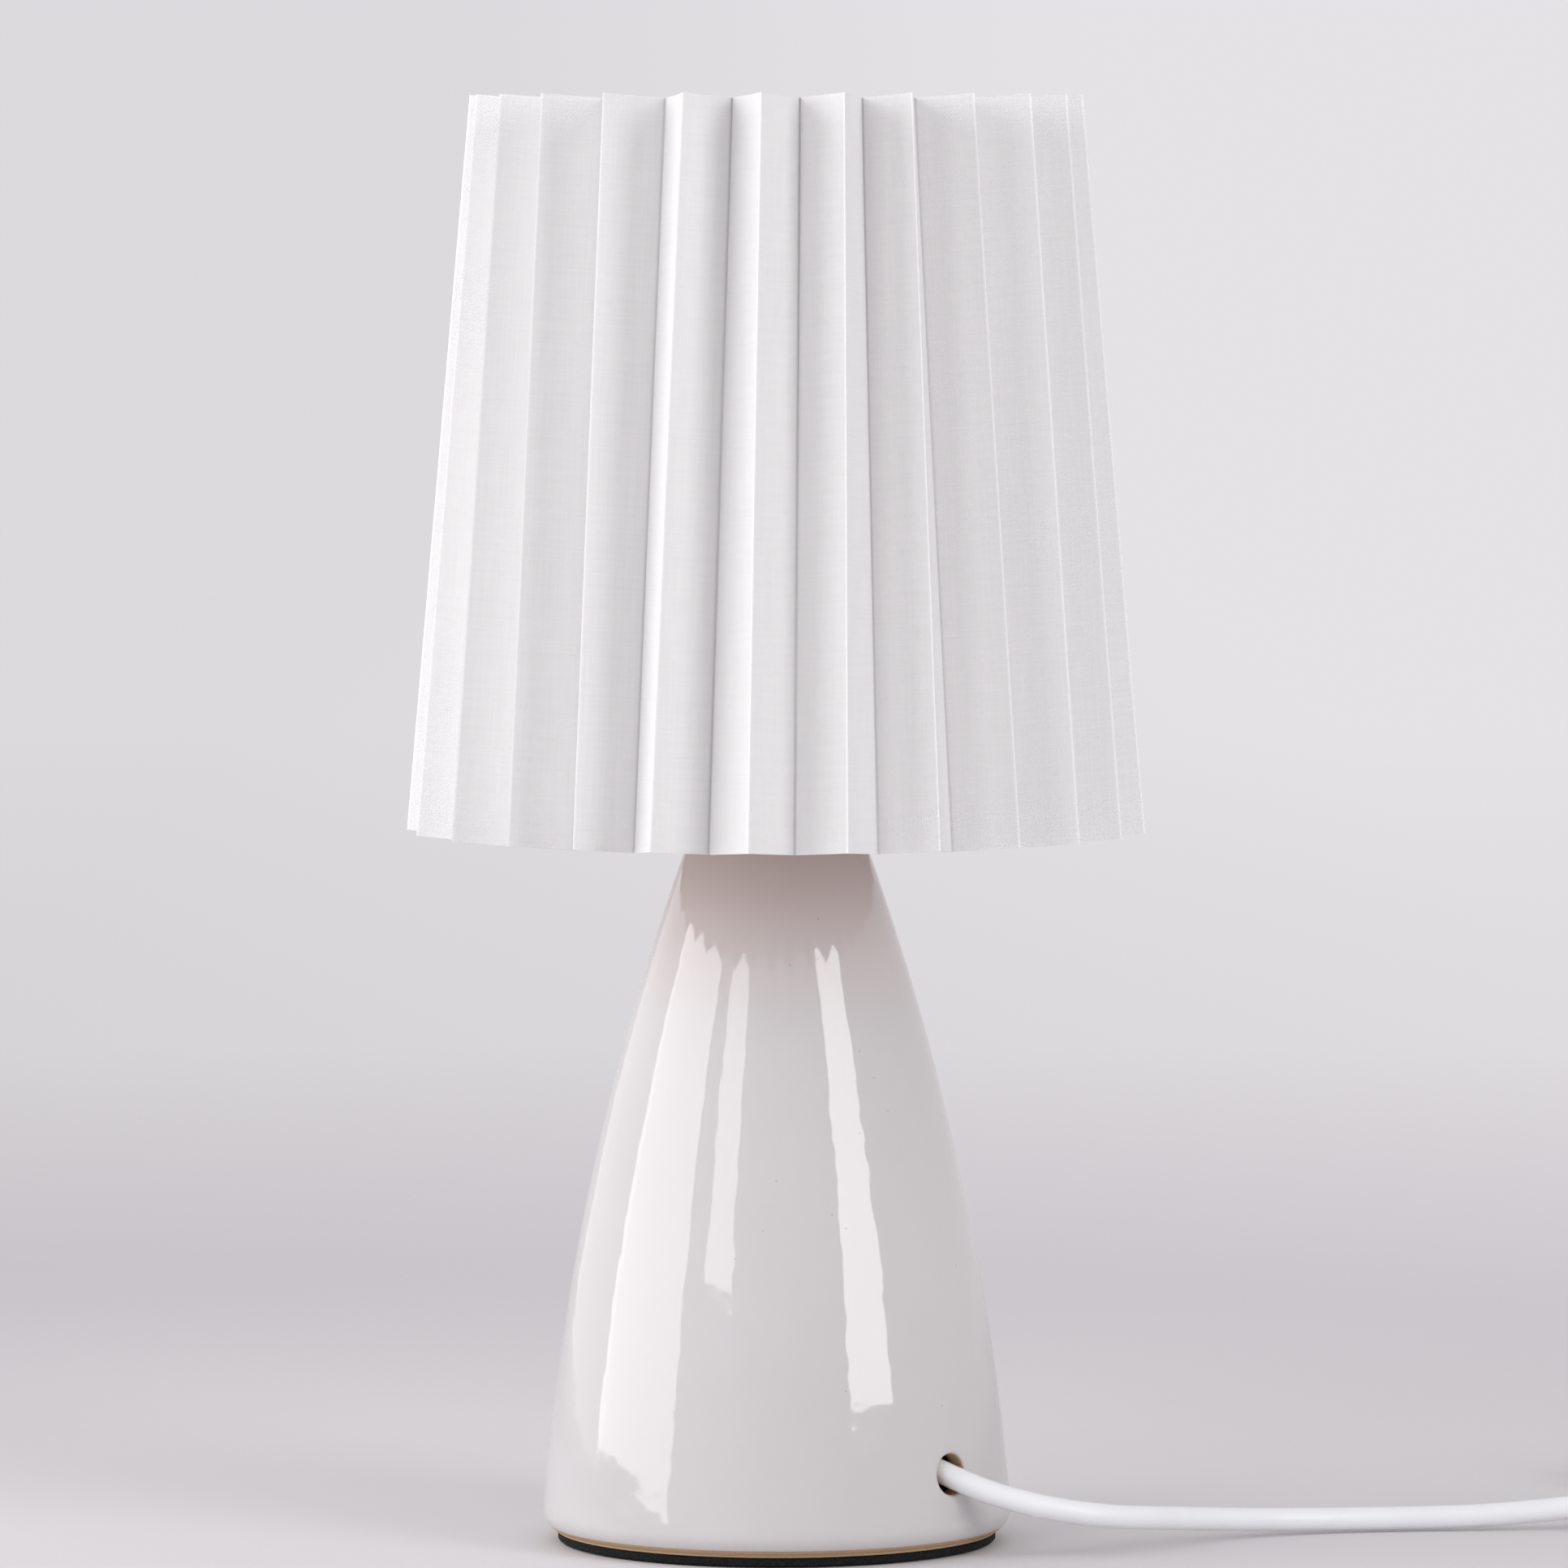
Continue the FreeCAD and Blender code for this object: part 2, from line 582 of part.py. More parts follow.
def make_holder_shells():
    shoulder = cap_top - s.cap_shoulder
    turned("lampholder_cap",
           [(nipple_hole, holder_foot),
            (s.cap_foot_radius, holder_foot),
            (s.cap_radius, shoulder),
            (s.cap_radius, cap_top),
            (s.cap_radius - s.cap_wall, cap_top),
            (s.cap_radius - s.cap_wall, shoulder),
            (s.cap_foot_radius - s.cap_wall, holder_foot + s.cap_floor),
            (nipple_hole, holder_foot + s.cap_floor)],
           {1: s.cap_arc, 5: s.cap_wall - s.cap_arc})

    insert_bore = s.insert_radius + s.insert_gap
    step = insert_top + s.insert_gap
    flange_top = cap_top + s.shoulder_thick
    turned("lampholder_sleeve",
           [(insert_bore, cap_top),
            (s.shoulder_radius, cap_top),
            (s.shoulder_radius, flange_top),
            (s.sleeve_radius, flange_top),
            (s.sleeve_radius, sleeve_top - s.sleeve_chamfer),
            (s.sleeve_radius - s.sleeve_chamfer, sleeve_top),
            (s.sleeve_bore, sleeve_top),
            (s.sleeve_bore, step),
            (insert_bore, step)])


def upright_cylinder(name, x, y, z, radius, height):
    made = doc.addObject("Part::Cylinder", name)
    for prop, value in (("Radius", radius), ("Height", height), ("Placement.Base.x", x),
                        ("Placement.Base.y", y), ("Placement.Base.z", z)):
        made.setExpression(prop, dim(value).text)
    return made


def fused(name, pieces):
    made = doc.addObject("Part::MultiFuse", name)
    made.Shapes = pieces
    return made


def make_contacts():
    # block that holds the contacts: a boss hangs into the cap, and two screws clamp the cores there
    boss = s.insert_radius - s.insert_step
    body = turned("contact_block",
                  [(0, insert_foot), (boss, insert_foot), (boss, cap_top), (s.insert_radius, cap_top),
                   (s.insert_radius, insert_top), (0, insert_top)])
    screw_bore = s.screw_shank + s.screw_clear
    sketch = new_sketch(body, "XY_Plane", insert_foot)
    for side in (-1, 1):
        circle(sketch, s.screw_spread * side, 0, screw_bore)
    cut_checked(body, sketch, Length=s.screw_length + s.screw_clear, Reversed=True)
    screws = []
    for side in (-1, 1):
        x = s.screw_spread * side
        screws.append(upright_cylinder("ScrewHead", x, 0, insert_foot - s.screw_head_height,
                                       s.screw_head, s.screw_head_height))
        screws.append(upright_cylinder("ScrewShank", x, 0, insert_foot, s.screw_shank, s.screw_length))
    keep(fused("TerminalScrews", screws), "terminal_screws")

    inside = s.thread_sleeve_radius - s.thread_sleeve_wall
    floor_top = insert_top + s.thread_sleeve_wall
    rim = insert_top + s.thread_sleeve_height
    turned("thread_contact",
           [(s.leaf_reach + s.leaf_clear, insert_top), (s.thread_sleeve_radius, insert_top),
            (s.thread_sleeve_radius, rim), (inside, rim), (inside, floor_top),
            (s.leaf_reach + s.leaf_clear, floor_top)])

    # a sprung brass strip, fixed flat at one end and raised at the axis
    body = new_body("centre_contact")
    sketch = new_sketch(body, "XZ_Plane", -s.leaf_width / 2)
    leaf = s.thread_sleeve_wall
    top = insert_top + s.contact_rise
    outline(sketch, [(-s.leaf_reach, insert_top), (-s.leaf_reach / 2, insert_top),
                     (0, top - leaf), (s.leaf_reach / 2, top - leaf), (s.leaf_reach / 2, top),
                     (-leaf / 2, top), (-s.leaf_reach / 2 - leaf / 2, insert_top + leaf),
                     (-s.leaf_reach, insert_top + leaf)])
    feature(body, "Pad", sketch, Length=s.leaf_width)


# ---------------------------------------------------------------- shade and what carries it

def ridge_at(height):
    """Radius of the outer folds at a height."""
    return s.ridge_low + (height - s.shade_bottom) / s.shade_height * (s.ridge_high - s.ridge_low)


def fold_inside(height):
    """Radii of the sheet's inner side at the outer folds and at the inner folds."""
    ridge = ridge_at(height)
    valley = ridge - s.fold_depth
    half = 180 / s.pleat_count
    face = root((ridge - valley * cosine(half)) * (ridge - valley * cosine(half))
                + valley * sine(half) * valley * sine(half))
    return (ridge - s.sheet_thick * face / (valley * sine(half)),
            valley - s.sheet_thick * face / (ridge * sine(half)))


def make_shade():
    """One pleat is lofted between its rims, copied round the axis, and both rims are then cut square to
    the leaning folds."""
    body = new_body("pleated_shade")
    half = 180 / s.pleat_count
    sketches = []
    for height in (s.shade_bottom - s.rim_margin, shade_top + s.rim_margin):
        ridge = ridge_at(height)
        valley = ridge - s.fold_depth
        ridge_in, valley_in = fold_inside(height)
        sketch = new_sketch(body, "XY_Plane", height)
        outline(sketch, [(valley * cosine(half), -valley * sine(half)), (ridge, 0),
                         (valley * cosine(half), valley * sine(half)),
                         (valley_in * cosine(half), valley_in * sine(half)), (ridge_in, 0),
                         (valley_in * cosine(half), -valley_in * sine(half))])
        sketches.append(sketch)
    pleat = feature(body, "AdditiveLoft", sketches[0], Sections=[sketches[1]], Ruled=True)
    sketches[1].Visibility = False
    repeat(body, [pleat], s.pleat_count)

    slope = sine(s.rim_lean) / cosine(s.rim_lean)
    for ridge, rim, way in ((s.ridge_low, s.shade_bottom, -1), (s.ridge_high, shade_top, 1)):
        inner = ridge - s.fold_depth * 2
        outer = ridge + s.fold_depth
        far = rim + way * (s.fold_depth + s.rim_margin)
        corners = [(inner, rim + (inner - ridge) * slope), (outer, rim + (outer - ridge) * slope),
                   (outer, far), (inner, far)]
        turn(body, corners, kind="Groove")
    body.Placement = Placement(Vector(), Rotation(Vector(0, 0, 1), s.pleat_phase.value))
    body.setExpression("Placement.Rotation.Angle", s.pleat_phase.text)


def wire_ring(label, height, wire):
    """A ring of round wire just inside the inner folds."""
    ring = keep(doc.addObject("Part::Torus", label), label)
    radius = fold_inside(height)[1] - s.wire_gap - wire
    ring.setExpression("Radius1", radius.text)
    ring.setExpression("Radius2", wire.text)
    ring.setExpression("Placement.Base.z", height.text)
    return ring, radius


def make_frame():
    """Two wire rings in the folds, and arms from the lower ring to the pressed ring on the lampholder."""
    lower_height = s.shade_bottom + s.ring_inset
    lower, lower_radius = wire_ring("shade_lower_ring", lower_height, s.lower_wire)
    wire_ring("shade_upper_ring", shade_top - s.ring_inset, s.upper_wire)
    lip = s.fitter_radius - s.fitter_thick
    lip_foot = fitter_top - s.fitter_lip
    fitter = turned("fitter_ring", [(s.fitter_bore, fitter_seat), (lip, fitter_seat), (lip, lip_foot),
                                    (s.fitter_radius, lip_foot), (s.fitter_radius, fitter_top),
                                    (s.fitter_bore, fitter_top)])

    start_height = fitter_top - s.fitter_lip / 2
    start = s.fitter_radius - s.fitter_thick / 2
    across = lower_radius - start
    down = start_height - lower_height
    arms = []
    for number in range(int(s.arm_count.value)):
        turn_by = s.arm_phase.value + 360.0 * number / s.arm_count.value
        arm = doc.addObject("Part::Cylinder", "Arm")
        arm.setExpression("Radius", s.lower_wire.text)
        arm.setExpression("Height", root(across * across + down * down).text)
        lean = Rotation(Vector(0, 0, 1), Vector(across.value, 0, -down.value))
        about = Placement(Vector(), Rotation(Vector(0, 0, 1), turn_by))
        arm.Placement = about * Placement(Vector(start.value, 0, start_height.value), lean)
        arms.append(arm)
    cut = doc.addObject("Part::Cut", "WeldedArms")
    cut.Base = fused("Arms", arms)
    cut.Tool = fused("Rings", [fitter, lower])
    keep(cut, "shade_arms")


def make_collar():
    body = new_body("shade_collar")
    bore = s.sleeve_radius + s.collar_gap
    flange_top = collar_foot + s.collar_flange_thick
    top = collar_foot + s.collar_height
    turn(body, [(bore, collar_foot), (s.collar_flange, collar_foot), (s.collar_flange, flange_top),
                (s.collar_radius, flange_top), (s.collar_radius, top - s.rib_depth),
                (s.collar_radius - s.rib_depth, top), (bore, top)])
    sketch = new_sketch(body, "XY_Plane", flange_top)
    box_outline(sketch, s.rib_depth, s.rib_width / 2, x=s.collar_radius)
    rib = feature(body, "Pad", sketch, Length=s.collar_height - s.collar_flange_thick - 2 * s.rib_depth)
    repeat(body, [rib], s.rib_count)


# ---------------------------------------------------------------- bulb

def make_bulb():
    tip_flat = s.tip_radius - s.tip_height / 2
    turned("bulb_tip",
           [(0, bulb_foot), (tip_flat, bulb_foot), (s.tip_radius, bulb_foot + s.tip_height / 2),
            (s.tip_radius, insulator_foot), (0, insulator_foot)], {1: s.tip_height / 2})
    turned("bulb_insulator",
           [(0, insulator_foot), (s.tip_radius, insulator_foot),
            (s.screw_cap_radius - s.bulb_gap, screw_cap_foot), (0, screw_cap_foot)])
    inside = s.screw_cap_radius - s.screw_cap_wall
    flat_ring("bulb_screw_cap", inside, s.screw_cap_radius, screw_cap_foot, s.screw_cap_height)

    plug = inside - s.bulb_gap
    plug_foot = housing_foot - s.screw_cap_height / 3
    turned("bulb_housing",
           [(0, plug_foot), (plug, plug_foot), (plug, housing_foot),
            (s.screw_cap_radius + s.screw_cap_wall, housing_foot), (s.housing_radius, diffuser_foot),
            (0, diffuser_foot)], {3: s.housing_arc})
    turned("light_board", [(0, diffuser_foot), (s.led_radius, diffuser_foot),
                           (s.led_radius, diffuser_foot + s.led_thick), (0, diffuser_foot + s.led_thick)])

    belly = s.housing_radius + s.diffuser_swell
    belly_height = diffuser_foot + s.diffuser_belly
    top = diffuser_foot + s.diffuser_height
    wall = s.diffuser_wall
    tip = s.diffuser_tip
    half_root = math.sqrt(0.5)
    neck = tip * half_root
    neck_height = top - tip + tip * half_root
    tip_in = tip - wall
    turned("bulb_diffuser",
           [(s.housing_radius - wall, diffuser_foot), (s.housing_radius, diffuser_foot),
            (belly, belly_height), (neck, neck_height), (0, top), (0, top - wall),
            (tip_in * half_root, top - tip + tip_in * half_root), (belly - wall, belly_height)],
           {1: s.diffuser_arc, 2: s.diffuser_arc, 3: tip, 5: -tip_in, 6: wall - s.diffuser_arc,
            7: wall - s.diffuser_arc})


# ---------------------------------------------------------------- switch on the cord

def long_hole(body, radius, reach):
    """Passage for the cord, along X through the switch case."""
    sketch = new_sketch(body, "YZ_Plane", s.switch_place - reach)
    circle(sketch, s.switch_side, s.switch_axis, radius)
    return cut_checked(body, sketch, Length=reach * 2, Reversed=True)


def case_screw_places():
    return [(s.switch_place + s.case_screw_place * side, s.switch_side + s.case_screw_side * side)
            for side in (-1, 1)]


def case_half(label, foot, height, room_foot):
    """One moulded half of the switch case with its share of the cavity."""
    body = new_body(label)
    sketch = new_sketch(body, "XY_Plane", foot)
    rounded(sketch, s.switch_half_length, s.switch_half_width, s.switch_corner,
            s.switch_place, s.switch_side)
    feature(body, "Pad", sketch, Length=height)
    sketch = new_sketch(body, "XY_Plane", room_foot)
    rounded(sketch, s.switch_room, s.switch_half_width - s.switch_wall,
            s.switch_corner - s.switch_wall, s.switch_place, s.switch_side)
    cut_checked(body, sketch, Length=height - s.switch_wall, Reversed=True)
    return body


def drill_case(body, foot, radius, depth):
    sketch = new_sketch(body, "XY_Plane", foot)
    for x, y in case_screw_places():
        circle(sketch, x, y, radius)
    cut_checked(body, sketch, Length=depth, Reversed=True)


def make_switch_case():
    lower_height = s.switch_axis - s.case_gap / 2
    upper_foot = s.switch_axis + s.case_gap / 2
    upper_height = s.switch_height - upper_foot
    head_seat = s.case_screw_sink + s.case_screw_head_height
    shank_hole = s.case_screw_radius + s.screw_clear

    lower = case_half("switch_lower_case", dim(0), lower_height, s.switch_wall)
    long_hole(lower, s.cord_radius + s.cord_clear, s.switch_half_length)
    drill_case(lower, dim(0), s.case_screw_head + s.screw_clear, head_seat)
    drill_case(lower, head_seat, shank_hole, lower_height)
    round_edges(lower, lambda e: height_of(e, dim(0)) and e.BoundBox.DiagonalLength > 10, s.case_chamfer)

    upper = case_half("switch_upper_case", upper_foot, upper_height, upper_foot)
    ear_foot = pivot_height - s.ear_drop
    ear_middle = s.rocker_half_width + s.rocker_gap + s.ear_thick / 2
    sketch = new_sketch(upper, "XY_Plane", ear_foot)
    for side in (-1, 1):
        box_outline(sketch, s.ear_half, s.ear_thick / 2, s.switch_place, s.switch_side + ear_middle * side)
    feature(upper, "Pad", sketch, Length=s.switch_height - s.switch_wall / 2 - ear_foot)
    sketch = new_sketch(upper, "XY_Plane", pivot_height)
    box_outline(sketch, s.rocker_radius + s.rocker_gap, s.rocker_half_width + s.rocker_gap,
                s.switch_place, s.switch_side)
    cut_checked(upper, sketch, Length=s.switch_height, Reversed=True)
    sketch = new_sketch(upper, "XZ_Plane", -s.switch_side)
    circle(sketch, s.switch_place, pivot_height, s.trunnion_radius + s.trunnion_gap)
    reach = s.rocker_half_width + s.trunnion_length + s.rocker_gap / 2
    cut_checked(upper, sketch, Length=reach * 2, Midplane=True)
    long_hole(upper, s.cord_radius + s.cord_clear, s.switch_half_length)
    drill_case(upper, upper_foot, shank_hole, head_seat + s.case_screw_length + s.screw_clear - upper_foot)
    round_edges(upper, lambda e: height_of(e, s.switch_height) and
                abs(e.BoundBox.YMax - s.switch_side.value) > s.switch_half_width.value / 2 + 1, s.switch_edge)


def make_rocker():
    body = new_body("switch_rocker")
    x, z, arm = s.switch_place, pivot_height, s.rocker_radius
    low = root(arm * arm - s.rocker_under * s.rocker_under)
    high = arm * cosine(s.rocker_top)
    rise = arm * sine(s.rocker_top)
    sketch = new_sketch(body, "XZ_Plane", -s.switch_side)
    outline(sketch, [(x - low, z - s.rocker_under), (x + low, z - s.rocker_under), (x + high, z + rise),
                     (x, z + s.rocker_middle), (x - high, z + rise)], {1: arm, 4: arm})
    feature(body, "Pad", sketch, Length=s.rocker_half_width * 2, Midplane=True)
    sketch = new_sketch(body, "XZ_Plane", -s.switch_side)
    circle(sketch, x, z, s.trunnion_radius)
    feature(body, "Pad", sketch, Length=(s.rocker_half_width + s.trunnion_length) * 2, Midplane=True)
    pivot = Vector(x.value, s.switch_side.value, z.value)
    body.Placement = Placement(Vector(), Rotation(Vector(0, 1, 0), -s.rocker_tilt.value), pivot)


def box(name, x, y, z, size_x, size_y, size_z):
    """A box from its middle in X and Y and its foot in Z."""
    made = doc.addObject("Part::Box", name)
    for prop, value in (("Length", size_x), ("Width", size_y), ("Height", size_z),
                        ("Placement.Base.x", x - size_x / 2), ("Placement.Base.y", y - size_y / 2),
                        ("Placement.Base.z", z)):
        made.setExpression(prop, dim(value).text)
    return made


def make_switch_metal():
    screws = []
    for x, y in case_screw_places():
        head_top = s.case_screw_sink + s.case_screw_head_height
        screws.append(upright_cylinder("Head", x, y, s.case_screw_sink, s.case_screw_head,
                                       s.case_screw_head_height))
        screws.append(upright_cylinder("Shank", x, y, head_top, s.case_screw_radius, s.case_screw_length))
    keep(fused("CaseScrews", screws), "case_screws")

    strips = []
    for side in (-1, 1):
        y = s.switch_side + s.contact_side * side
        inner = s.switch_place + s.ear_half * 2 * side
        middle = inner - s.contact_long / 2 * side
        strips.append(box("Strip", middle, y, s.switch_wall, s.contact_long, s.contact_broad,
                          s.contact_strip))
        strips.append(box("Upturn", inner - s.contact_strip / 2 * side, y, s.switch_wall,
                          s.contact_strip, s.contact_broad, s.contact_stand))
    keep(fused("ContactStrips", strips), "switch_contacts")


# ---------------------------------------------------------------- plug

plug_axis = s.plug_half_thick
plug_end = s.plug_face + s.plug_length
boot_end = plug_end + s.boot_length


def along_x(body, x, y, z):
    """Lay a body that was drawn about Z along X, starting at x."""
    body.Placement = Placement(Vector(x.value, y.value, z.value), Rotation(Vector(0, 1, 0), 90))
    for axis, value in (("x", x), ("y", y), ("z", z)):
        body.setExpression(f"Placement.Base.{axis}", value.text)


def make_plug_body():
    body = new_body("plug_body")
    bend = s.plug_face + s.plug_straight
    y = s.plug_side
    sketch = new_sketch(body, "XY_Plane")
    outline(sketch, [(s.plug_face, y - s.plug_half_width), (bend, y - s.plug_half_width),
                     (plug_end, y - s.plug_waist), (plug_end, y + s.plug_waist),
                     (bend, y + s.plug_half_width), (s.plug_face, y + s.plug_half_width)],
            {1: -s.plug_arc, 3: -s.plug_arc})
    feature(body, "Pad", sketch, Length=s.plug_half_thick * 2)
    for side in (-1, 1):
        sketch = new_sketch(body, "XZ_Plane", -(y - s.plug_half_width * 2))
        edge = plug_axis + s.plug_half_thick * side
        tip = plug_axis + s.plug_end_thick * side
        far = plug_end + s.plug_corner
        beyond = edge + s.plug_corner * side
        outline(sketch, [(bend, edge), (plug_end, tip), (far, tip), (far, beyond), (bend, beyond)],
                {0: -s.plug_arc * 2 * -side})
        cut_checked(body, sketch, Length=s.plug_half_width * 4)

    def long_edge(edge):
        box = edge.BoundBox
        off_axis = abs(edge.CenterOfMass.y - y.value) > s.plug_waist.value / 2
        off_level = abs(edge.CenterOfMass.z - plug_axis.value) > s.plug_end_thick.value / 2
        return box.XLength > 1 and off_axis and off_level

    round_edges(body, long_edge, s.plug_corner)
    sketch = new_sketch(body, "YZ_Plane", s.plug_face)
    for side in (-1, 1):
        circle(sketch, y + s.pin_spacing / 2 * side, plug_axis, s.pin_core)
    cut_checked(body, sketch, Length=s.pin_hold, Reversed=True)


def pin_pair(label, corners, arcs=None):
    """Both copies of a round piece of the pins, drawn from the pin's tip."""
    pair = []
    for side in (-1, 1):
        body = doc.addObject("PartDesign::Body", "Pin")
        turn(body, corners, arcs)
        along_x(body, s.plug_face - s.pin_length, s.plug_side + s.pin_spacing / 2 * side, plug_axis)
        pair.append(body)
    return keep(fused("Pair", pair), label)


def make_pins():
    neck = s.pin_length - s.pin_sleeve_length
    pin_pair("plug_pins", [(0, 0), (s.pin_radius - s.pin_round, 0), (s.pin_radius, s.pin_round),
                           (s.pin_radius, neck), (s.pin_core, neck),
                           (s.pin_core, s.pin_length + s.pin_hold), (0, s.pin_length + s.pin_hold)],
             {1: s.pin_round})
    pin_pair("pin_sleeves", [(s.pin_core, neck), (s.pin_sleeve_radius, neck),
                             (s.pin_sleeve_radius, s.pin_length), (s.pin_core, s.pin_length)])


def make_boot():
    """Tapered strain relief, drawn from the plug towards the cord."""
    body = new_body("plug_boot")
    turn(body, [(0, 0), (s.boot_radius, 0), (s.boot_end_radius, s.boot_length), (0, s.boot_length)])
    step = (s.boot_length - s.boot_root) / s.boot_ribs
    slope = (s.boot_radius - s.boot_end_radius) / s.boot_length
    for rib in range(int(s.boot_ribs.value)):
        start = s.boot_root + step * rib
        end = start + step / 2
        deep = s.boot_radius - slope * end - s.boot_groove
        turn(body, [(deep, start), (s.boot_radius + 1, start), (s.boot_radius + 1, end), (deep, end)],
             kind="Groove")
    along_x(body, plug_end, s.plug_side, plug_axis)


# ---------------------------------------------------------------- cord

def tube_path(points):
    """Straight runs joined by arcs, each as large as the runs beside it allow."""
    points = [Vector(*point) for point in points]
    edges = []
    radii = []
    start = points[0]
    for before, corner, after in zip(points, points[1:], points[2:]):
        back = before - corner
        ahead = after - corner
        reach = 0.45 * min(back.Length, ahead.Length)
        back.normalize()
        ahead.normalize()
        half_turn = (math.pi - back.getAngle(ahead)) / 2
        radius = reach / math.tan(half_turn)
        middle = corner + (back + ahead).normalize() * (radius / math.cos(half_turn) - radius)
        first, last = corner + back * reach, corner + ahead * reach
        edges += [Part.LineSegment(start, first).toShape(), Part.Arc(first, middle, last).toShape()]
        radii.append(radius)
        start = last
    edges.append(Part.LineSegment(start, points[-1]).toShape())
    return Part.Wire(edges), radii


def swept(label, path, section):
    """A Part::Feature that holds a section swept along a path, with its volume compared."""
    solid = path.makePipeShell([section], True, False)
    expected = Part.Face(section).Area * path.Length
    if not solid.isValid() or abs(solid.Volume / expected - 1) > 0.01:
        raise RuntimeError(f"{label}: the tube's volume is {solid.Volume:.0f}, not {expected:.0f}")
    made = keep(doc.addObject("Part::Feature", label), label)
    made.Shape = solid
    return made


def cord_tube(label, points):
    path, radii = tube_path(points)
    start = Vector(*points[0])
    section = Part.Wire(Part.Circle(start, Vector(*points[1]) - start, s.cord_radius.value).toShape())
    swept(label, path, section)
    print(f"{label}: {path.Length:.0f} mm, radii", " ".join(f"{radius:.0f}" for radius in radii))


def make_cord_stop():
    """Clamp on the cord just inside the outlet."""
    bore = s.cord_radius + s.stop_clear
    body = turned("cord_stop", [(bore, 0), (s.stop_radius, 0), (s.stop_radius, s.stop_length),
                                (bore, s.stop_length)])
    end = Vector(*CORD_INSIDE[-1])
    way = (end - Vector(*CORD_INSIDE[-2])).normalize()
    outward = Vector(end.x, end.y, 0).normalize()
    reach = (side_at(s.outlet_height, s.wall) - s.stop_gap).value
    front = end + way * ((reach - end.dot(outward)) / way.dot(outward))
    body.Placement = Placement(front - way * s.stop_length.value, Rotation(Vector(0, 0, 1), way))


# ---------------------------------------------------------------- coil of the spare cord

coil_centre_y = s.plug_side - s.coil_radius
coil_inner = s.coil_radius - s.coil_turns * s.coil_pitch


def coil_point(turns):
    """The cord's centre after so many turns: in on the lower layer, half a turn that climbs, and out."""
    wound = s.coil_turns.value
    if turns < wound:
        radius, height = s.coil_radius.value - s.coil_pitch.value * turns, coil_height.value
    elif turns < wound + 0.5:
        climbed = (turns - wound) / 0.5
        radius = coil_inner.value - s.coil_dip.value * math.sin(math.pi * climbed)
        height = coil_height.value + s.coil_rise.value * (1 - math.cos(math.pi * climbed)) / 2
    else:
        radius, height = coil_inner.value + s.coil_pitch.value * (turns - wound - 0.5), coil_top.value
    angle = 2 * math.pi * turns - math.pi / 2
    return Vector(s.coil_x.value + radius * math.cos(angle), coil_centre_y.value + radius * math.sin(angle),
                  height)


def biarc(start, start_way, end, end_way):
    """Two arcs that leave start and reach end in the given directions."""
    chord = end - start
    both = start_way + end_way
    along = chord.dot(both)
    spare = 2 * (1 - start_way.dot(end_way))
    reach = (math.sqrt(along * along + spare * chord.dot(chord)) - along) / spare
    first, second = start + start_way * reach, end - end_way * reach
    joint = (first + second) / 2
    arcs = []
    for a, corner, b in ((start, first, joint), (joint, second, end)):
        half = (math.pi - (a - corner).getAngle(b - corner)) / 2
        inward = ((a + b) / 2 - corner).normalize()
        middle = corner + inward * (reach / math.cos(half) - reach) / math.tan(half)
        arcs.append(Part.Arc(a, middle, b))
    return arcs


def make_coil():
    total = 2 * s.coil_turns.value + 0.5
    count = round(total * 4)
    step = 1e-4
    knots = [coil_point(total * k / count) for k in range(count + 1)]
    ways = [(coil_point(total * k / count + step) - coil_point(total * k / count - step)).normalize()
            for k in range(count + 1)]
    ways[0], ways[-1] = Vector(1, 0, 0), Vector(-1, 0, 0)
    arcs = []
    for k in range(count):
        arcs += biarc(knots[k], ways[k], knots[k + 1], ways[k + 1])
    straight = 2 * s.cord_radius.value
    lead_in = Part.LineSegment(knots[0] - ways[0] * straight, knots[0])
    lead_out = Part.LineSegment(knots[-1], knots[-1] + ways[-1] * straight)
    path = Part.Wire([edge.toShape() for edge in [lead_in] + arcs + [lead_out]])

    # eight flats inside the round section
    sides = 8
    radius = s.cord_radius.value
    start = knots[0] - ways[0] * straight
    turns = [2 * math.pi * k / sides for k in range(sides)]
    ring = [start + Vector(0, math.cos(a) * radius, math.sin(a) * radius) for a in turns]
    swept("cord_coil", path, Part.makePolygon(ring + ring[:1]))
    report_coil(path, arcs, 2 * radius)


def report_coil(path, arcs, width):
    """Print the coil's length, its tightest bend and the least gap between its turns."""
    points = path.discretize(Distance=1.5)
    spacing = path.Length / (len(points) - 1)
    least = min(a.distanceToPoint(b) for k, a in enumerate(points) for b in points[k + int(30 / spacing):]
                if abs(a.x - b.x) < 9 and abs(a.y - b.y) < 9)
    tightest = min(arc.toShape().Curve.Radius for arc in arcs)
    print(f"cord_coil: {path.Length:.0f} mm, tightest radius {tightest:.1f}, least gap {least - width:.2f}")


def make_tie():
    """A soft band round the coil's turns."""
    body = new_body("coil_tie")
    inner, outer = coil_inner - s.cord_radius, s.coil_radius + s.cord_radius
    foot = s.tie_lift + s.tie_thick
    top = coil_top + s.cord_radius + s.tie_slack
    middle_x, middle_z = (inner + outer) / 2, (foot + top) / 2
    half_x, half_z = (outer - inner) / 2, (top - foot) / 2
    sketch = new_sketch(body, "XZ_Plane")
    rounded(sketch, half_x, half_z, s.tie_round, middle_x, middle_z)
    rounded(sketch, half_x + s.tie_thick, half_z + s.tie_thick, s.tie_round + s.tie_thick,
            middle_x, middle_z)
    feature(body, "Pad", sketch, Length=s.tie_width, Midplane=True)
    body.Placement = Placement(Vector(s.coil_x.value, coil_centre_y.value, 0),
                               Rotation(Vector(0, 0, 1), s.tie_turn.value))


# ---------------------------------------------------------------- build, check and write

